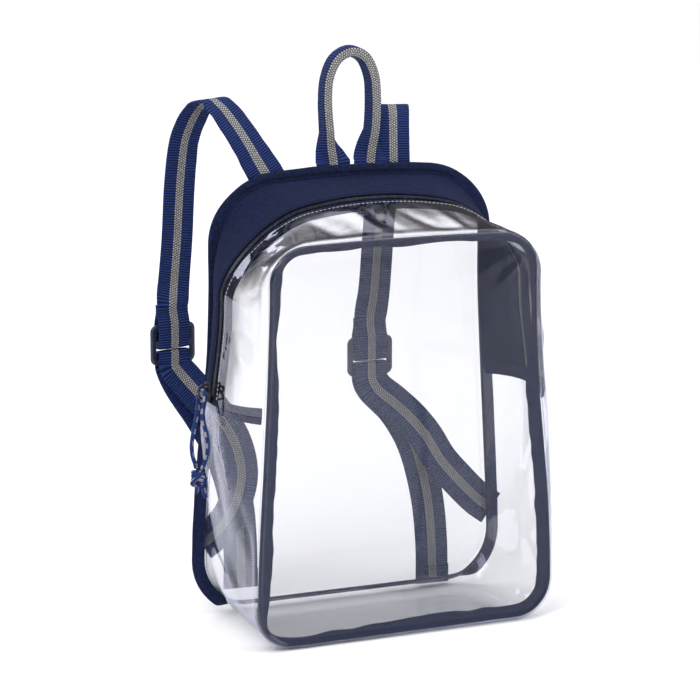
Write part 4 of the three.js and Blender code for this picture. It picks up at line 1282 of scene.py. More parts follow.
@dataclass
class ClearShell:
    """The clear sheets: front, back, lower gusset and the gusset over the top in front of the zip.

    Each row of rim has a distance inside the seam and a share of seam_roll to the back.
    """

    thickness: float = 0.8
    crown: float = 5.0
    seam_roll: float = 1.5
    rim: tuple[Pair, ...] = (
        (0.0, 0.8), (0.7, 0.1), (1.4, -0.7), (2.2, -1.0), (3.2, -0.6), (4.6, -0.1), (6.4, 0.0), (8.5, 0.0),
    )
    front_edge: float = 7.0
    front_roll: float = 0.7
    front_curl: float = 1.1
    near_front: tuple[float, ...] = (0.4, 0.9, 1.5, 2.2, 3.2, 4.6, 6.5)
    wave: float = 0.55
    levels: int = 34
    folds: tuple[Fold, ...] = (
        Fold((-60, 0.62), (-34, 0.97), 5, -2.2),
        Fold((-48, 0.55), (-20, 0.7), 6, 2.2),
        Fold((-30, 0.62), (-12, 0.96), 4, 2.6),
        Fold((-14, 0.6), (-2, 0.97), 3.5, -2.4),
        Fold((2, 0.58), (-8, 0.95), 4, 2.0),
        Fold((12, 0.66), (30, 0.95), 5, -2.0),
        Fold((40, 0.6), (38, 0.96), 4, 2.2),
        Fold((52, 0.68), (44, 0.97), 3, -1.8),
        Fold((72, 0.7), (96, 0.97), 5, 2.4),
        Fold((90, 0.62), (112, 0.96), 5, -2.2),
        Fold((118, 0.66), (128, 0.96), 4, 2.0),
        Fold((-96, 0.62), (-110, 0.95), 6, 2.2),
        Fold((-122, 0.7), (-132, 0.97), 5, -2.0),
        Fold((-150, 0.64), (-176, 0.9), 6, 1.6),
        Fold((150, 0.66), (176, 0.92), 6, 1.8),
    )
    panel_folds: tuple[Fold, ...] = (
        Fold((93, 262), (60, 250), 1.6, 2.3),
        Fold((93, 261), (66, 236), 1.8, 2.5),
        Fold((93, 260), (84, 230), 1.8, -2.0),
        Fold((60, 246), (20, 238), 5, 0.9),
        Fold((-88, 258), (-70, 240), 3.5, 1.0),
        Fold((-96, 40), (-80, 24), 4, 1.0),
        Fold((98, 40), (84, 22), 4, 1.2),
        Fold((-60, 14), (60, 12), 6, 0.9),
        Fold((22, 214), (58, 208), 4, 0.7),
    )
    side_folds: tuple[Fold, ...] = (
        Fold((-270, 0.2), (-190, 0.32), 6, 1.6),
        Fold((-262, 0.42), (-170, 0.5), 7, -1.4),
        Fold((-255, 0.62), (-205, 0.72), 5, 1.8),
        Fold((-200, 0.75), (-160, 0.93), 5, -1.8),
        Fold((-150, 0.3), (-120, 0.8), 6, 1.6),
        Fold((-118, 0.85), (-140, 0.55), 5, -1.6),
        Fold((270, 0.2), (190, 0.34), 6, 1.6),
        Fold((262, 0.45), (175, 0.52), 7, -1.4),
        Fold((250, 0.62), (205, 0.76), 5, 1.8),
        Fold((160, 0.8), (125, 0.4), 6, -1.6),
        Fold((118, 0.84), (142, 0.58), 5, 1.6),
    )

    def panel(
        self, name: str, section: Section, face: float, crown: float, forward: float, inset: float = 0.0,
        folds: Sequence[Fold] = (),
    ) -> Thing:
        """Panel inside a seam outline.

        Args:
            name: the object's name.
            section: its seam.
            face: y of the sheet at its seam.
            crown: how far the middle stands out.
            forward: -1 where the panel faces the front, 1 where it faces the back.
            inset: how far inside the seam it starts.
            folds: creases, in millimetres right of the middle and up.

        Returns:
            The linked object.
        """
        side, half = FORM.all_round(section, 3.0)
        x, z, nx, nz = FORM.seam(section, side, half)
        centre_z = section.lift + (section.top - section.lift) / 2
        rows_x, rows_z, rows_y = [], [], []
        for inside, roll in self.rim:
            rows_x.append(x - nx * (inside + inset))
            rows_z.append(z - nz * (inside + inset))
            rows_y.append(np.full_like(x, roll * self.seam_roll))
        rim_x, rim_z = rows_x[-1], rows_z[-1]
        levels = np.linspace(1, 0.04, self.levels)[1:]
        for level in levels:
            rows_x.append(rim_x * level)
            rows_z.append((rim_z - centre_z) * level + centre_z)
            rows_y.append(np.zeros_like(x))
        gx, gz, gy = np.array(rows_x), np.array(rows_z), np.array(rows_y)
        size = np.concatenate([np.ones(len(self.rim)), levels])[:, None]
        gy = gy - crown * (1 - size**2)
        flat = upright(gx, gz)
        calm = smoothstep(1 - size, 0.0, 0.12)
        tall = flat * np.array([1.0, 1.0, 0.45])
        ripple = field_noise(flat, 0.018, 3.7) + field_noise(tall, 0.045, 9.1) * 0.45
        creases = fold_relief(gx, gz, folds, 1.0) * smoothstep(1 - size, 0.0, 0.03)
        gy = face + (gy if forward < 0 else -gy) + ripple * self.wave * calm - creases
        front = np.stack([gx, gy, gz], axis=-1)
        back = front + np.array([0, self.thickness * -forward, 0])
        weave = np.stack([gx, gz], axis=-1)
        rows, cols = front.shape[:2]
        points = np.concatenate([front.reshape(-1, 3), back.reshape(-1, 3)])
        base = rows * cols
        faces: list = []
        uvs: list = []

        def add(corners: list[tuple[int, int, int]]) -> None:
            """Adds one face from (row, column, side) corners."""
            faces.append(tuple(r * cols + c % cols + s * base for r, c, s in corners))
            uvs.append([tuple(weave[r, c % cols]) for r, c, _ in corners])

        for r in range(rows - 1):
            for c in range(cols):
                add([(r, c, 0), (r, c + 1, 0), (r + 1, c + 1, 0), (r + 1, c, 0)])
                add([(r, c, 1), (r + 1, c, 1), (r + 1, c + 1, 1), (r, c + 1, 1)])
        for c in range(cols):
            add([(0, c + 1, 0), (0, c, 0), (0, c, 1), (0, c + 1, 1)])
        add([(rows - 1, c, 0) for c in range(cols)])
        add([(rows - 1, c, 1) for c in range(cols - 1, -1, -1)])
        return plain_mesh(name, points, faces, uvs, 60)

    def gusset(
        self, name: str, side: Array, half: Array, share: Array, folds: Sequence[Fold], seed: float,
        origin: int,
    ) -> Thing:
        """Clear gusset with its folds, rolled where it meets the front seam.

        Args:
            name: the object's name.
            side: -1 or 1 for each station.
            half: share of the half outline for each station.
            share: shares of the depth, stations by columns.
            folds: its creases.
            seed: of its ripples.
            origin: index of the station where the run is 0.

        Returns:
            The linked object.
        """
        wide, tall = side[:, None], half[:, None]
        bare = FORM.wall(wide, tall, share, 0.0)
        middle = bare[:, bare.shape[1] // 2]
        run = run_lengths(middle)
        run = (run - run[origin])[:, None]
        to_front = (1 - share) * FORM.depth
        to_ends = np.minimum(np.abs(run - run[0]), np.abs(run[-1] - run))
        to_start = (share - share[:, :1]) * FORM.depth
        calm = smoothstep(to_front, 2, 12) * smoothstep(to_ends, 0, 14) * smoothstep(to_start, 0, 8)
        relief = fold_relief(run, share, folds, FORM.depth)
        ripple = field_noise(bare, 0.03, seed) * 0.8 + field_noise(bare, 0.075, seed + 5) * 0.3
        pressed = smoothstep(bare[..., 2], 0.5, 8.0)
        lift = (relief + ripple) * calm * pressed
        roll = self.front_roll * smoothstep(to_front, 1.6, 3.0) * (1 - smoothstep(to_front, 4.0, 9.0))
        curl = -self.front_curl * (1 - smoothstep(to_front, 1.3, 2.4))
        offset = lift + (roll + curl) * pressed
        outer = FORM.wall(wide, tall, share, offset)
        outer[..., 2] = np.maximum(outer[..., 2], 0.05)
        inner = FORM.wall(wide, tall, share, offset - self.thickness)
        inner[..., 2] = np.maximum(inner[..., 2], self.thickness)
        weave = weave_grid(share * FORM.depth, run)
        return sheet(name, outer, inner, weave, sharp=70)

    def columns(self, start: Array, count: int) -> Array:
        """Shares of the depth from a start for each station to the front seam, close together near it."""
        end = 1 - FORM.seam_gap / FORM.depth
        near = np.array(self.near_front) / FORM.depth
        body_end = end - near[-1]
        even = start[:, None] + (body_end - start)[:, None] * np.linspace(0, 1, count)[None, :]
        last = np.concatenate([end - near[::-1][1:], [end]])
        tail = np.broadcast_to(last[None, :], (len(start), len(near)))
        return np.concatenate([even, tail], axis=1)

    def build(self, looks: Finishes) -> None:
        """Makes the four clear pieces."""
        front = self.panel("front_sheet", FORM.front, FORM.front.y, self.crown, -1, 0.0, self.panel_folds)
        keep(front, "clear_vinyl", looks.vinyl, "front_panel")
        back = self.panel("back_sheet", FORM.back, FORM.back.y + 0.3 + self.thickness, 0.0, 1, 1.4)
        keep(back, "clear_vinyl", looks.vinyl, "back_panel")
        side, half = FORM.under_base(SIDE_SEAM - SEAM_SLIT, 3.2)
        low = self.gusset(
            "lower_gusset_sheet", side, half, self.columns(np.zeros(len(half)), 34), self.side_folds, 2.3,
            len(half) // 2,
        )
        keep(low, "clear_vinyl", looks.low_vinyl, "lower_gusset")
        side, half = FORM.over_top(SIDE_SEAM + SEAM_SLIT, 2.6)
        start = FORM.zip_reach(side, half, self.front_edge)
        top = self.gusset(
            "front_gusset_sheet", side, half, self.columns(start, 26), self.folds, 7.7, len(half) // 2
        )
        keep(top, "clear_vinyl", looks.top_vinyl, "front_gusset")


# Navy gusset


@dataclass
class NavyGusset:
    """Woven gusset over the top behind the zip, with a little slack in it."""

    thickness: float = 1.0
    rear_edge: float = 4.0
    slack: float = 0.5

    def build(self, looks: Finishes) -> None:
        """Makes the gusset."""
        side, half = FORM.over_top(SIDE_SEAM + SEAM_SLIT, 3.0)
        end = FORM.zip_reach(side, half, -self.rear_edge)
        share = np.linspace(0, 1, 18)[None, :] * end[:, None]
        wide, tall = side[:, None], half[:, None]
        bare = FORM.wall(wide, tall, share, 0.0)
        run = run_lengths(bare[:, 8])
        edge = np.minimum(share / end[:, None], 1 - share / end[:, None])
        calm = smoothstep(edge, 0.0, 0.3)
        seam_tuck = -0.45 * np.exp(-(((share * FORM.depth - 1.4) / 1.0) ** 2))
        hem = 0.35 * smoothstep(share / end[:, None], 0.86, 0.9)
        ripple = field_noise(bare, 0.022, 4.4) * 1.2 + field_noise(bare, 0.06, 1.9) * 0.5
        offset = ripple * self.slack * calm + seam_tuck + hem
        outer = FORM.wall(wide, tall, share, offset)
        inner = FORM.wall(wide, tall, share, offset - self.thickness)
        weave = weave_grid(share * FORM.depth, run[:, None])
        keep(sheet("rear_gusset_cloth", outer, inner, weave), "navy_fabric", looks.fabric, "rear_gusset")


# Bindings


@dataclass
class Bindings:
    """Navy tape on the back flange, on the front seam's allowance and across the side gussets."""

    flange_width: float = 8.0
    flange_thickness: float = 2.5
    splay: float = 80.0
    splay_start: float = 0.75
    gap: float = 0.3
    inner: float = 1.0
    stitch_out: float = 2.0
    stitch_pitch: float = 2.6
    zigzag_out: float = 4.1
    zigzag_pitch: float = 1.15
    zigzag_span: Pair = (-82.0, 76.0)
    front_near: float = 1.5
    front_width: float = 9.2
    front_thickness: float = 1.3
    side_width: float = 10.0
    side_near: float = 1.6
    side_far: float = 2.9
    corner_height: float = 30.0
    left_turn: tuple[Pair, ...] = (
        (0, 30), (8, 36), (18, 34), (35, 12), (60, 5), (115, 0), (170, 12), (187, 24), (198, 34), (208, 44),
        (222, 32), (235, 20), (250, 8), (262, 22), (272, 48),
    )
    base_turn: tuple[Pair, ...] = (
        (-110, 70), (-70, 70), (-30, 52), (20, 30), (60, 16), (110, 14),
    )
    right_turn: tuple[Pair, ...] = (
        (0, 30), (12, 24), (30, 40), (52, 34), (80, 20), (115, 8), (160, 16), (172, 30), (182, 80), (215, 96),
        (235, 86), (255, 80), (265, 66), (272, 48),
    )

    def turned(self, out: Array, angle: Array) -> tuple[Array, Array]:
        """Directions along and through a tape that is turned from out towards the rear."""
        rear = np.array([0.0, 1.0, 0.0])
        c, s = np.cos(angle)[:, None], np.sin(angle)[:, None]
        return out * c + rear * s, rear * c - out * s

    def tape(
        self, name: str, start: Array, reach: Array, through: Array, profile: Sequence[Pair],
        wobble: Array, nearest: float, lowest: float,
    ) -> Thing:
        """Tape all round a seam.

        Args:
            name: the object's name.
            start: where the profile starts, for each station.
            reach: direction of the profile's first number, for each station.
            through: direction of its second number.
            profile: the tape's section in millimetres.
            wobble: how much wider the tape is at each station.
            nearest: least y.
            lowest: least height.

        Returns:
            The linked object.
        """
        width = max(a for a, _ in profile)
        rings = np.stack(
            [start + reach * (a + wobble * (a / width))[:, None] + through * b for a, b in profile], axis=1
        )
        rings[..., 1] = np.maximum(rings[..., 1], nearest)
        rings[..., 2] = np.maximum(rings[..., 2], lowest)
        edge, run = run_lengths(np.array(profile), True), run_lengths(start, True)
        return skin(name, rings, weave_grid(edge[None, :], run[:, None]), looped=True, sharp=60)

    def flange(self, looks: Finishes) -> None:
        """Folded tape round the back seam's flange, splayed back along the floor."""
        side, half = FORM.all_round(FORM.back, 2.4)
        x, z, nx, nz = FORM.seam(FORM.back, side, half)
        face = FORM.back.y + self.gap
        splay = np.radians(self.splay) * smoothstep(-nz, self.splay_start, 1)
        out = upright(nx, nz)
        reach, through = self.turned(out, splay)
        start = upright(x, z, face)
        start = start + out * (self.flange_thickness * np.sin(splay) - self.inner)[:, None]
        w, t = self.flange_width + self.inner, self.flange_thickness
        profile = [
            (0.0, 0.35), (0.4, 0.06), (1.1, 0.0), (2.2, 0.16), (4.2, 0.06), (6.2, 0.1), (w - 0.8, 0.25),
            (w - 0.2, 0.7), (w, 1.25), (w - 0.2, 1.8), (w - 0.8, 2.25), (6.2, 2.4), (4.2, 2.44), (2.2, 2.34),
            (1.1, t), (0.4, 2.44), (0.0, 2.15),
        ]
        run = run_lengths(start, True)
        wobble = field_noise(start, 0.05, 6.1) * 0.35
        tape = self.tape("back_binding_tape", start, reach, through, profile, wobble, FORM.back.y, 0.1)
        keep(tape, "navy_tape", looks.tape, "back_binding")
        self.stitch_rows(start, reach, through, run, looks)

    def stitch_rows(
        self, start: Array, reach: Array, through: Array, run: Array, looks: Finishes
    ) -> None:
        """Lock stitches round the flange and the zigzag where straps and handle are sewn in."""
        stitch = RepeatTree(Repeat.STITCH)
        total = run[-1]
        closed = [np.vstack([v, v[:1]]) for v in (start, reach, through)]

        def at(length: Array) -> list[Array]:
            """Start, reach and through at lengths round the flange."""
            place = length % total
            return [np.stack([np.interp(place, run, v[:, k]) for k in range(3)], axis=-1) for v in closed]

        marks = np.arange(0, total, self.stitch_pitch)
        places, ways, outs = [], [], []
        base, out, rear = at(marks)
        ahead = at(marks + 0.5)[0]
        along = unit(ahead - base)
        for face_at, sign in ((0.02, -1.0), (2.5, 1.0)):
            places.append(base + out * self.stitch_out + rear * face_at)
            ways.append(along)
            outs.append(rear * sign)
        size = RepeatSize(1.9, 0.45, 0.4)
        row = stitch.run(
            "binding_stitches", np.concatenate(places), np.concatenate(ways), np.concatenate(outs), size,
            looks.thread,
        )
        keep(row, "navy_tape", None)
        middle = total * 0.5
        first, last = self.zigzag_span
        marks = np.arange(middle + first, middle + last, self.zigzag_pitch)
        base, out, rear = at(marks)
        along = unit(at(marks + 0.5)[0] - base)
        sway = np.where(np.arange(len(marks)) % 2 == 0, 1.0, -1.0)
        centre = base + out * self.zigzag_out + rear * -0.05
        lean = unit(along * 0.75 + out * sway[:, None])
        zig = stitch.run(
            "handle_zigzag", centre, lean, -rear, RepeatSize(2.6, 0.5, 0.45, seed=3), looks.dark_thread
        )
        keep(zig, "navy_tape", None)

    def front_tape(self, looks: Finishes) -> None:
        """Tape on the front seam's allowance, turned as in the photograph."""
        side, half = FORM.all_round(FORM.front, 2.6)
        x, z, nx, nz = FORM.seam(FORM.front, side, half)
        turn = np.where(
            side < 0,
            np.interp(z, *zip(*self.left_turn)),
            np.interp(z, *zip(*self.right_turn)),
        )
        base = np.interp(side * np.abs(x), *zip(*self.base_turn))
        turn = lerp(base, turn, smoothstep(z, 6, 20))
        turn = turn + 9 * field_noise(upright(x, z), 0.045, 5.5)
        smooth = np.array([1, 2, 3, 2, 1], float)
        padded = np.concatenate([turn[-2:], turn, turn[:2]])
        turn = np.convolve(padded, smooth / smooth.sum(), mode="valid")
        inward = -upright(nx, nz)
        reach, through = self.turned(inward, np.radians(turn))
        start = upright(x, z, FORM.front.y + 1.35) + inward * self.front_near
        w, t = self.front_width, self.front_thickness
        wobble = field_noise(start, 0.09, 8.2) * 1.1
        profile = [
            (0.0, 0.3), (0.5, 0.02), (1.6, 0.0), (2.4, 0.12), (4.4, 0.05), (6.6, 0.02), (w - 0.8, 0.05),
            (w - 0.2, 0.3), (w, 0.65), (w - 0.2, 1.0), (w - 0.8, t - 0.05), (6.6, t), (4.4, t),
            (2.4, t - 0.1), (1.6, t), (0.5, t), (0.0, 1.0),
        ]
        near = FORM.front.y + 1.2
        tape = self.tape("front_binding_tape", start, reach, through, profile, wobble, near, 1.2)
        keep(tape, "navy_tape", looks.tape, "front_binding")

    def side_tape(self, label: str, sign: float, looks: Finishes) -> None:
        """Tape over the seam between the upper and the lower gusset, inside the bag."""
        lower = (SIDE_SEAM - FORM.ends[1]) / (FORM.side_seam_height - self.corner_height)
        start, end = FORM.seam_gap / FORM.depth, 1 - (FORM.seam_gap + 2.1) / FORM.depth
        share = np.linspace(start, end, 40)
        across = np.linspace(-1, 1, 9)
        half = SIDE_SEAM + np.where(across > 0, across * UP_SHARE, across * lower) * self.side_width / 2
        half, share = half[None, :], share[:, None]
        ridge = 0.25 * np.exp(-((across / 0.25) ** 2))[None, :]
        bare = FORM.wall(sign, half, share, -self.side_near)
        sag = field_noise(bare, 0.06, 3.3 + sign) * 0.3
        edge = -0.25 * smoothstep(np.abs(across), 0.75, 1.0)[None, :]
        outer = FORM.wall(sign, half, share, -self.side_near + edge + np.minimum(sag, 0))
        inner = FORM.wall(sign, half, share, -self.side_far - ridge - edge + np.minimum(sag, 0))
        weave = weave_grid(across[None, :] * self.side_width / 2, share * FORM.depth)
        name = f"side_binding_{label}"
        keep(sheet(f"{name}_tape", outer, inner, weave, sharp=60), "navy_tape", looks.tape, name)

    def build(self, looks: Finishes) -> None:
        """Makes all bindings."""
        self.flange(looks)
        self.front_tape(looks)
        self.side_tape("left", -1.0, looks)
        self.side_tape("right", 1.0, looks)


# Zip


@dataclass
class TopZip:
    """Two tapes, the coil with its teeth and the stitches beside it."""

    tape_reach: float = 16.0
    coil_width: float = 4.4
    tape_thickness: float = 0.9
    start: float = SIDE_SEAM + 5.6 * UP_SHARE
    tooth_pitch: float = 1.35

    def strip(
        self, name: str, near: float, far: float, offset: float, thickness: float, step: float = 2.4
    ) -> Thing:
        """Flat strip beside the zip's line between two distances forward of it."""
        side, half = FORM.over_top(self.start, step)
        reaches = np.linspace(near, far, 7)
        share = np.stack([FORM.zip_reach(side, half, r) for r in reaches], axis=1)
        wide, tall = side[:, None], half[:, None]
        bare = FORM.wall(wide, tall, share, 0.0)
        run = run_lengths(bare[:, 3])
        outer = FORM.wall(wide, tall, share, offset)
        inner = FORM.wall(wide, tall, share, offset - thickness)
        weave = weave_grid(reaches[None, :], run[:, None])
        return sheet(name, outer, inner, weave)

    def line(self, forward: float, offset: float, pitch: float, start: float) -> tuple[Array, ...]:
        """Places along the zip's line, their directions and their outward normals."""
        side, half = FORM.over_top(start, pitch)
        share = FORM.zip_reach(side, half, forward)
        places = FORM.wall(side, half, share, offset)
        normal, _ = FORM.frame_at(side, half, share)
        return places, unit(np.gradient(places, axis=0)), normal

    def build(self, looks: Finishes) -> None:
        """Makes the zip."""
        half_coil = self.coil_width / 2
        near, far, under = half_coil + 0.3, self.tape_reach, -1.35
        rear = self.strip("zip_tape_rear_weave", -far, -near, under, self.tape_thickness)
        keep(rear, "navy_tape", looks.tape, "zipper_tape_rear")
        fore = self.strip("zip_tape_front_weave", near, far, under, self.tape_thickness)
        keep(fore, "navy_tape", looks.tape, "zipper_tape_front")
        core = self.strip("zip_coil_core", -half_coil * 0.9, half_coil * 0.9, -0.5, 1.5)
        keep(core, "coil_plastic", looks.coil, "zipper_coil")
        tooth = RepeatTree(Repeat.TOOTH)
        places, along, normal = self.line(0.0, -0.55, self.tooth_pitch, self.start)
        size = RepeatSize(0.95, self.coil_width, 1.9, 0.03, 5)
        teeth = tooth.run("zip_teeth", places, along, normal, size, looks.coil)
        keep(teeth, "coil_plastic", None)
        stitch = RepeatTree(Repeat.STITCH)
        rows = (
            ("coil_stitches_rear", -half_coil - 1.0, -1.2, 2.2, looks.dark_thread),
            ("edge_stitches_rear", -6.2, 0.5, 2.6, looks.dark_thread),
            ("edge_stitches_front", 9.3, 0.2, 3.0, looks.pale_thread),
        )
        for name, forward, offset, pitch, thread in rows:
            places, along, normal = self.line(forward, offset, pitch, self.start)
            run = stitch.run(name, places, along, normal, RepeatSize(pitch * 0.72, 0.5, 0.45), thread)
            keep(run, "navy_tape", None)


# Webbing


@dataclass
class Webbing:
    """One length of striped webbing along rows of x, y, z, tilt and yaw."""

    rows: Sequence[Sequence[float]]
    width: float = 25.0
    thickness: float = 1.4
    thin_edge: float = 0.45
    cup: float = 0.3
    cup_wave: float = 23.0
    cup_start: float = 30.0
    step: float = 1.1
    columns: int = 15

    def __post_init__(self) -> None:
        """Works out the middle line and its directions."""
        table = np.array([list(row) + [0.0] * (5 - len(row)) for row in self.rows])
        places, self.lengths = Catmull(table[:, :3]).even(self.step)
        self.centre = Catmull(table[:, :3]).at(places)
        index = np.minimum(places.astype(int), len(table) - 2)
        share = smoothstep(places - index, 0, 1)
        tilt = np.radians(lerp(table[index, 3], table[index + 1, 3], share))
        yaw = np.radians(lerp(table[index, 4], table[index + 1, 4], share))
        wide = np.stack([np.cos(yaw) * np.cos(tilt), np.sin(yaw) * np.cos(tilt), np.sin(tilt)], axis=1)
        tangent = unit(np.gradient(self.centre, axis=0))
        self.across = unit(wide - tangent * np.sum(wide * tangent, axis=1, keepdims=True))
        self.normal = np.cross(tangent, self.across)

    def layer(self, name: str, start: float = 0.0, end: float = math.inf, offset: float = 0.0) -> Thing:
        """Sheet of the webbing between two lengths.

        Args:
            name: the object's name.
            start: length where it starts, in millimetres.
            end: length where it ends.
            offset: distance from the middle line, along the normal.

        Returns:
            The linked object.
        """
        kept = (self.lengths >= start - 1e-6) & (self.lengths <= end + 1e-6)
        centre, across, normal, run = (v[kept] for v in (self.centre, self.across, self.normal, self.lengths))
        level = np.sin(np.linspace(-np.pi / 2, np.pi / 2, self.columns))
        reach = level * self.width / 2
        full = np.sqrt(np.clip(1 - np.abs(level) ** 8, 0, 1))
        plump = self.thickness / 2 * (self.thin_edge + (1 - self.thin_edge) * full)
        cup = self.cup * level**2 * np.sin(run / self.cup_wave)[:, None]
        middle = centre[:, None, :] + across[:, None, :] * reach[None, :, None]
        grown = cup * np.minimum(run / self.cup_start, 1)[:, None]
        middle = middle + normal[:, None, :] * (offset + grown)[..., None]
        thick = normal[:, None, :] * plump[None, :, None]
        weave = weave_grid(reach[None, :], run[:, None])
        return sheet(name, middle + thick, middle - thick, weave, sharp=75)

    def marks(self, length: float, spread: Sequence[float], face: float) -> tuple[Array, ...]:
        """Places across the webbing at a length, with their directions.

        Args:
            length: millimetres from its start.
            spread: distances across.
            face: distance of the face from the middle line; negative for the other face.

        Returns:
            Places, directions across and outward directions.
        """
        k = int(np.argmin(np.abs(self.lengths - length)))
        spread = np.asarray(spread)[:, None]
        places = self.centre[k] + self.across[k] * spread + self.normal[k] * face
        ones = np.ones((len(spread), 1))
        return places, self.across[k] * ones, self.normal[k] * math.copysign(1, face) * ones


@dataclass
class GrabHandle:
    """Webbing handle, folded lengthwise where it stands up, with its stripe on the front fold.

    Each row has the middle's x, its rise over the back panel, and its size across and front to back.
    """

    rows: tuple[Four, ...] = (
        (-10.3, -2, 25, 1.8), (-10.3, 10, 25, 1.8), (-12.2, 19.5, 16, 4.6), (-13.6, 30, 7, 9.5),
        (-15.2, 52, 4.6, 11), (-13.6, 68, 4.8, 11.5), (-7, 80, 5.4, 12), (3, 84.4, 5.8, 12.5),
        (12.5, 80.5, 6.4, 12.5), (18.6, 69, 7.4, 12.5), (20.3, 52, 8, 12.5), (19.7, 31, 8.5, 10.5),
        (18.4, 19.5, 17, 5), (17.7, 10, 25, 1.8), (17.7, -2, 25, 1.8),
    )
    middle_y: float = 52.55
    lean: float = 2.0
    flat_half: float = 2.1
    bend: float = 2.4
    thickness: float = 1.3
    half_width: float = 12.5
    columns: int = 41

    def build(self, looks: Finishes) -> None:
        """Makes the handle."""
        table = np.array(self.rows)
        curve = Catmull(upright(table[:, 0], FORM.back.top + table[:, 1]))
        places, run = curve.even(0.9)
        centre = curve.at(places)
        index = np.arange(len(table))
        size = np.interp(places, index, table[:, 2])
        deep = np.interp(places, index, table[:, 3])
        lean = self.lean * smoothstep(centre[:, 2] - FORM.back.top, 0, table[:, 1].max())
        tangent = unit(np.gradient(centre, axis=0))
        side = upright(tangent[:, 2], -tangent[:, 0])
        spread = np.linspace(-self.half_width, self.half_width, self.columns)
        middle = self.columns // 2
        flap = self.half_width - self.flat_half
        fold = np.arccos(np.clip((size / 2 - self.flat_half) / flap, 0.02, 1))
        bent = smoothstep(np.abs(spread), self.flat_half - 0.6, self.flat_half + self.bend)
        turn = fold[:, None] * bent[None, :]
        pace = np.gradient(spread)
        lateral = np.cumsum(np.cos(turn) * pace, axis=1)
        lateral = lateral - lateral[:, [middle]]
        sink = np.cumsum(np.sin(turn) * pace * np.sign(spread)[None, :], axis=1)
        sink = sink - sink[:, [middle]]
        wave = 0.5 * field_noise(centre, 0.06, 2.2)[:, None] * (spread / self.half_width) ** 2
        front_y = self.middle_y + lean - deep / 2
        outer = centre[:, None, :] + side[:, None, :] * (lateral + wave)[..., None]
        outer[..., 1] = front_y[:, None] + sink
        out_side = np.sin(turn) * np.sign(spread)
        inward = side[:, None, :] * -out_side[..., None] + np.array([0, 1.0, 0]) * np.cos(turn)[..., None]
        plump = self.thickness * np.where(np.abs(spread) > self.half_width - 0.5, 0.6, 1.0)
        inner = outer + inward * plump[None, :, None]
        weave = weave_grid(spread[None, :], run[:, None])
        handle = sheet("grab_handle_webbing", outer, inner, weave, sharp=75)
        keep(handle, "striped_webbing", looks.webbing, "grab_handle")


@dataclass(frozen=True)
class HarnessSide:
    """One shoulder strap with its slider: rows of x, y, z, tilt and yaw."""

    label: str
    slider: Four
    strap: tuple[tuple[float, ...], ...]
    run: tuple[tuple[float, ...], ...]
    tail: tuple[tuple[float, ...], ...]


LEFT_SIDE = HarnessSide(
    "left",
    (-120.7, 74.5, 189, 13),
    (
        (-56, 52.35, 296.5, 32), (-59.8, 52.45, 303.3, 33), (-65.6, 54.6, 313.8, 35, 12),
        (-71.2, 56.5, 324.1, 36, 25), (-80, 60.5, 339, 33, 32), (-87.6, 65.5, 350, 18, 34),
        (-92.5, 71.5, 354.2, 0, 32), (-97, 79, 348.5, -16, 29), (-101.6, 84, 338.1, -20, 23),
        (-105.3, 87, 325.7, -14, 18), (-107.4, 88, 310, -7, 14), (-109.6, 87.5, 290, -3, 13),
        (-112.8, 84.5, 258, -2, 13), (-117.5, 79, 229, -1, 13),
    ),
    (
        (-109, 52.35, 51, -50), (-100.5, 53, 56.5, -46), (-84.5, 57.5, 71.5, -32), (-75.5, 62.5, 95, -2),
        (-80, 66, 119, 22), (-93, 69, 140, 34, 6), (-110.5, 71.3, 161, 26, 11),
    ),
    (
        (-114.5, 78, 159, 22, 11), (-98, 77.5, 134, 32, 6), (-84, 74.5, 106, 20), (-77, 69.5, 76, 5),
        (-75.8, 65, 44), (-76.5, 63.5, 14),
    ),
)
RIGHT_SIDE = HarnessSide(
    "right",
    (25.3, 70.5, 169.5, 5),
    (
        (36.4, 54.55, 297), (36.6, 56.15, 313, -2), (37.4, 58.5, 330, -2), (38.7, 62, 341, -2),
        (40.2, 67.5, 344.8, -2), (41.3, 74, 340.5, -2), (41.8, 78, 328, -1), (40.7, 79.5, 303, 0, 3),
        (35.2, 77.5, 255, 0, 5), (30, 74, 212, 0, 5),
    ),
    (
        (112.5, 52.35, 54, 58), (101.5, 53.2, 62.4, 50), (87.5, 55.5, 77.1, 42), (75.5, 58, 91.5, 34),
        (64.5, 60.8, 110, 35), (54, 63, 123, 41), (41.5, 64.8, 135, 40, 2), (29, 66.4, 146, 20, 4),
    ),
    (
        (28.5, 74.2, 146.5, 12, 4), (46, 73.6, 128, 32), (60, 71.5, 103, 20), (68.8, 67.5, 66, 5),
        (70.8, 63.5, 32), (70.2, 61.5, 1.5),
    ),
)


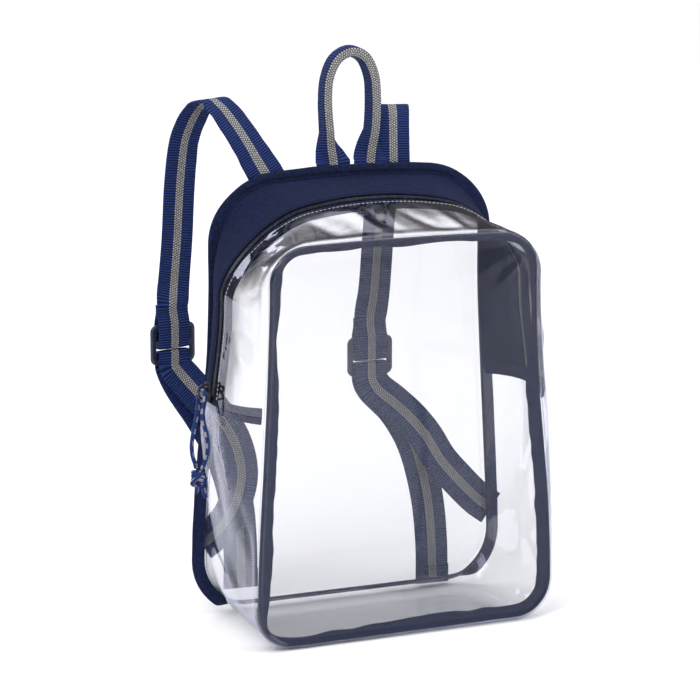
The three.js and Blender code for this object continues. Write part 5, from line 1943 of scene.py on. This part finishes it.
@dataclass
class StrapSlider:
    """Three-bar slider with rounded bars: a frame and a middle bar."""

    half_wide: float = 17.7
    top: float = 13.5
    bottom: float = -14.5
    corner: float = 5.0
    bar: float = 4.0
    thickness: float = 3.0
    drift: float = -0.5

    def section(self) -> Array:
        """Rounded section of a bar, across and front to back."""
        return np.stack(rounded_section(16, 0.55, self.bar, self.thickness), axis=1)

    def build(self, label: str, place: Four, looks: Finishes) -> None:
        """Makes the slider at its place and yaw."""
        half = self.half_wide - self.bar / 2
        high, low = self.top - self.bar / 2, self.bottom + self.bar / 2
        radius = self.corner - self.bar / 2
        corners = ((half, high, 0), (-half, high, 90), (-half, low, 180), (half, low, 270))
        path = []
        for x, z, start in corners:
            cx, cz = x - math.copysign(radius, x), z - math.copysign(radius, z)
            for turn in np.radians(start + np.linspace(0, 90, 7)):
                ahead, up = math.cos(turn), math.sin(turn)
                path.append((cx + radius * ahead, cz + radius * up, ahead, up))
        loop = np.array(path)
        section = self.section()
        out = upright(loop[:, 2], loop[:, 3])
        centre = upright(loop[:, 0], loop[:, 1])
        rear = np.array([0.0, 1.0, 0.0])
        rings = (
            centre[:, None, :] + out[:, None, :] * section[None, :, :1] + rear * section[None, :, 1:]
        )
        weave = np.zeros((len(loop) + 1, len(section) + 1, 2))
        reach = self.half_wide - 3.2
        ends = np.array([-reach, 0.4 - reach, reach - 0.4, reach])
        bar = np.zeros((4, len(section), 3))
        bar[..., 0] = ends[:, None]
        bar[..., 1] = section[None, :, 1] * np.array([0.8, 1, 1, 0.8])[:, None]
        bar[..., 2] = section[None, :, 0] * np.array([0.8, 1, 1, 0.8])[:, None]
        x, y, z, yaw = place
        turn = math.radians(yaw)
        c, s = math.cos(turn), math.sin(turn)
        spin = np.array([[c, -s, 0], [s, c, 0], [0, 0, 1]])
        at = np.array([x, y, z]) + spin @ np.array([0, self.drift, 0])
        parts = [
            skin("frame", rings @ spin.T + at, weave, looped=True, sharp=60),
            skin("bar", bar @ spin.T + at, weave, sharp=60),
        ]
        piece = joined(f"strap_slider_{label}_moulded", parts)
        keep(piece, "dark_plastic", looks.plastic, f"strap_slider_{label}")


@dataclass
class ShoulderHarness:
    """Both straps: the sewn upper webbing, the slider and the lower webbing with its free tail."""

    layer: float = 2.85
    turn: float = 3.05
    ply: float = 0.9
    bend: float = 0.9
    top_bar: float = 11.5
    bottom_bar: float = 12.5
    slack_turn: float = 4.2
    sewn_loop: float = 27.0
    tab: float = 13.5
    stitch_half: float = 10.8
    stitch_pitch: float = 1.2
    strap_rows: Pair = (2.0, 4.6)
    tab_rows: Pair = (1.6, 3.6)

    def sewn_rows(self) -> list[Pair]:
        """Depths and rises of the loop round the middle bar, with its end sewn to the strap."""
        first = [
            (-self.ply, self.sewn_loop), (-self.ply, self.sewn_loop - 5.5), (-self.layer, self.top_bar + 2.5),
            (-self.layer, 0), (-self.layer * self.bend, -self.turn * self.bend),
        ]
        back = [(-deep, rise) for deep, rise in reversed(first)]
        return [*first, (0, -self.turn), *back]

    def under(self) -> list[Pair]:
        """Turn of the lower webbing over the bottom bar."""
        rise = -self.bottom_bar + self.slack_turn
        first = [
            (-self.layer, rise - 3 - self.slack_turn), (-self.layer, rise - self.slack_turn),
            (-self.layer, rise),
            (-self.layer * self.bend, rise + self.turn * self.bend),
        ]
        back = [(-deep, up) for deep, up in reversed(first)]
        return [*first, (0, rise + self.turn), *back]

    def at_slider(self, slider: Four, table: list[Pair]) -> list:
        """Rows of webbing at depths and rises of a slider."""
        x, y, z, yaw = slider
        turn = math.radians(yaw)
        return [(x - d * math.sin(turn), y + d * math.cos(turn), z + r, 0, yaw) for d, r in table]

    def side(self, given: HarnessSide, looks: Finishes, stitch: RepeatTree) -> None:
        """Makes one side."""
        label = given.label
        strap = Webbing([*given.strap, *self.at_slider(given.slider, self.sewn_rows())])
        keep(
            strap.layer(f"shoulder_strap_{label}_webbing"), "striped_webbing", looks.webbing,
            f"shoulder_strap_{label}",
        )
        lower = Webbing([*given.run, *self.at_slider(given.slider, self.under()), *given.tail])
        length = lower.lengths[-1]
        parts = [lower.layer("lower"), lower.layer("tab", length - self.tab, length, 1.5)]
        piece = joined(f"adjuster_strap_{label}_webbing", parts)
        keep(piece, "striped_webbing", looks.webbing, f"adjuster_strap_{label}")
        total = strap.lengths[-1]
        spread = np.arange(-self.stitch_half, self.stitch_half + 0.1, self.stitch_pitch)
        rows = []
        for back_from_end in self.strap_rows:
            upper = total - 2 * (self.sewn_loop + self.turn) + back_from_end - 1.5
            rows.append(strap.marks(upper, spread, -0.95))
            rows.append(strap.marks(total - back_from_end, spread, 0.95))
        for inset in self.tab_rows:
            at = length - (self.tab - inset)
            rows.append(lower.marks(at, spread, -0.85))
            rows.append(lower.marks(at, spread, 2.35))
        places, along, outward = (np.concatenate(v) for v in zip(*rows))
        seams = stitch.run(
            f"strap_hem_stitches_{label}", places, along, outward, RepeatSize(1.3, 0.7, 0.5),
            looks.dark_thread,
        )
        keep(seams, "striped_webbing", None)

    def build(self, looks: Finishes) -> None:
        """Makes both sides."""
        stitch = RepeatTree(Repeat.STITCH)
        for given in (LEFT_SIDE, RIGHT_SIDE):
            self.side(given, looks, stitch)
            StrapSlider().build(given.label, given.slider, looks)


@dataclass
class ZipPull:
    """Zip slider: a waisted body on the coil with a bail for the cord."""

    seat: Point = (-118.38, 7.79, 167.65)
    body_x: float = -120.73
    long: float = 14.0
    wide: float = 9.0
    thick: float = 3.5
    wire: float = 0.8
    bail_long: float = 11.0
    bail_rise: float = 5.8

    def body(self) -> Thing:
        """Body with rounded edges, narrower at its lower end."""
        level = np.array([-1, -0.98, -0.9, -0.75, -0.5, -0.2, 0.1, 0.4, 0.65, 0.85, 0.96, 1.0])
        plump = np.array([0.45, 0.68, 0.86, 0.95, 1, 1, 1, 1, 1, 0.94, 0.78, 0.5])
        wide = np.array([0.6, 0.68, 0.74, 0.78, 0.8, 0.82, 0.86, 0.94, 1, 1, 0.9, 0.7])
        x, y = rounded_section(24, 0.6, self.thick, self.wide)
        rings = np.zeros((len(level), len(x), 3))
        rings[..., 0] = self.body_x + x * plump[:, None]
        rings[..., 1] = self.seat[1] + y * wide[:, None]
        rings[..., 2] = self.seat[2] + level[:, None] * self.long / 2
        return skin("body", rings, np.zeros((len(level) + 1, len(x) + 1, 2)), sharp=50)

    def bail(self) -> Thing:
        """Wire loop that stands out of the body."""
        x, y, z = self.body_x, self.seat[1], self.seat[2]
        h, r = self.bail_long / 2 - self.wire, self.bail_rise + 1.0
        route = np.array([
            (x - 0.6, y, z - h), (x - 2.6, y, z - h), (x - r + 1.0, y, z - h * 0.82),
            (x - r, y, z - h * 0.35), (x - r, y, z + h * 0.35), (x - r + 1.0, y, z + h * 0.82),
            (x - 2.6, y, z + h), (x - 0.6, y, z + h),
        ])
        places, _ = Catmull(route).even(0.7)
        centre = Catmull(route).at(places)
        _, side, other = path_frames(centre)
        turn = np.linspace(0, 2 * np.pi, 13)[:-1]
        ring = ring_directions(side, other, turn)
        rings = centre[:, None, :] + ring * self.wire
        return skin("bail", rings, np.zeros((len(centre) + 1, len(turn) + 1, 2)), sharp=50)

    def build(self, looks: Finishes) -> None:
        """Makes the slider."""
        piece = joined("zip_slider_lacquered", [self.body(), self.bail()])
        keep(piece, "slider_metal", looks.metal, "zipper_slider")


def main() -> None:
    """Builds the scene in order."""
    logging.basicConfig(level=logging.INFO, format="%(message)s")
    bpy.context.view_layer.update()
    looks = Finishes()
    Studio().build()
    PullCord().build(looks)
    ZipPull().build(looks)
    ClearShell().build(looks)
    NavyGusset().build(looks)
    Bindings().build(looks)
    TopZip().build(looks)
    GrabHandle().build(looks)
    ShoulderHarness().build(looks)


if __name__ == "__main__":
    main()
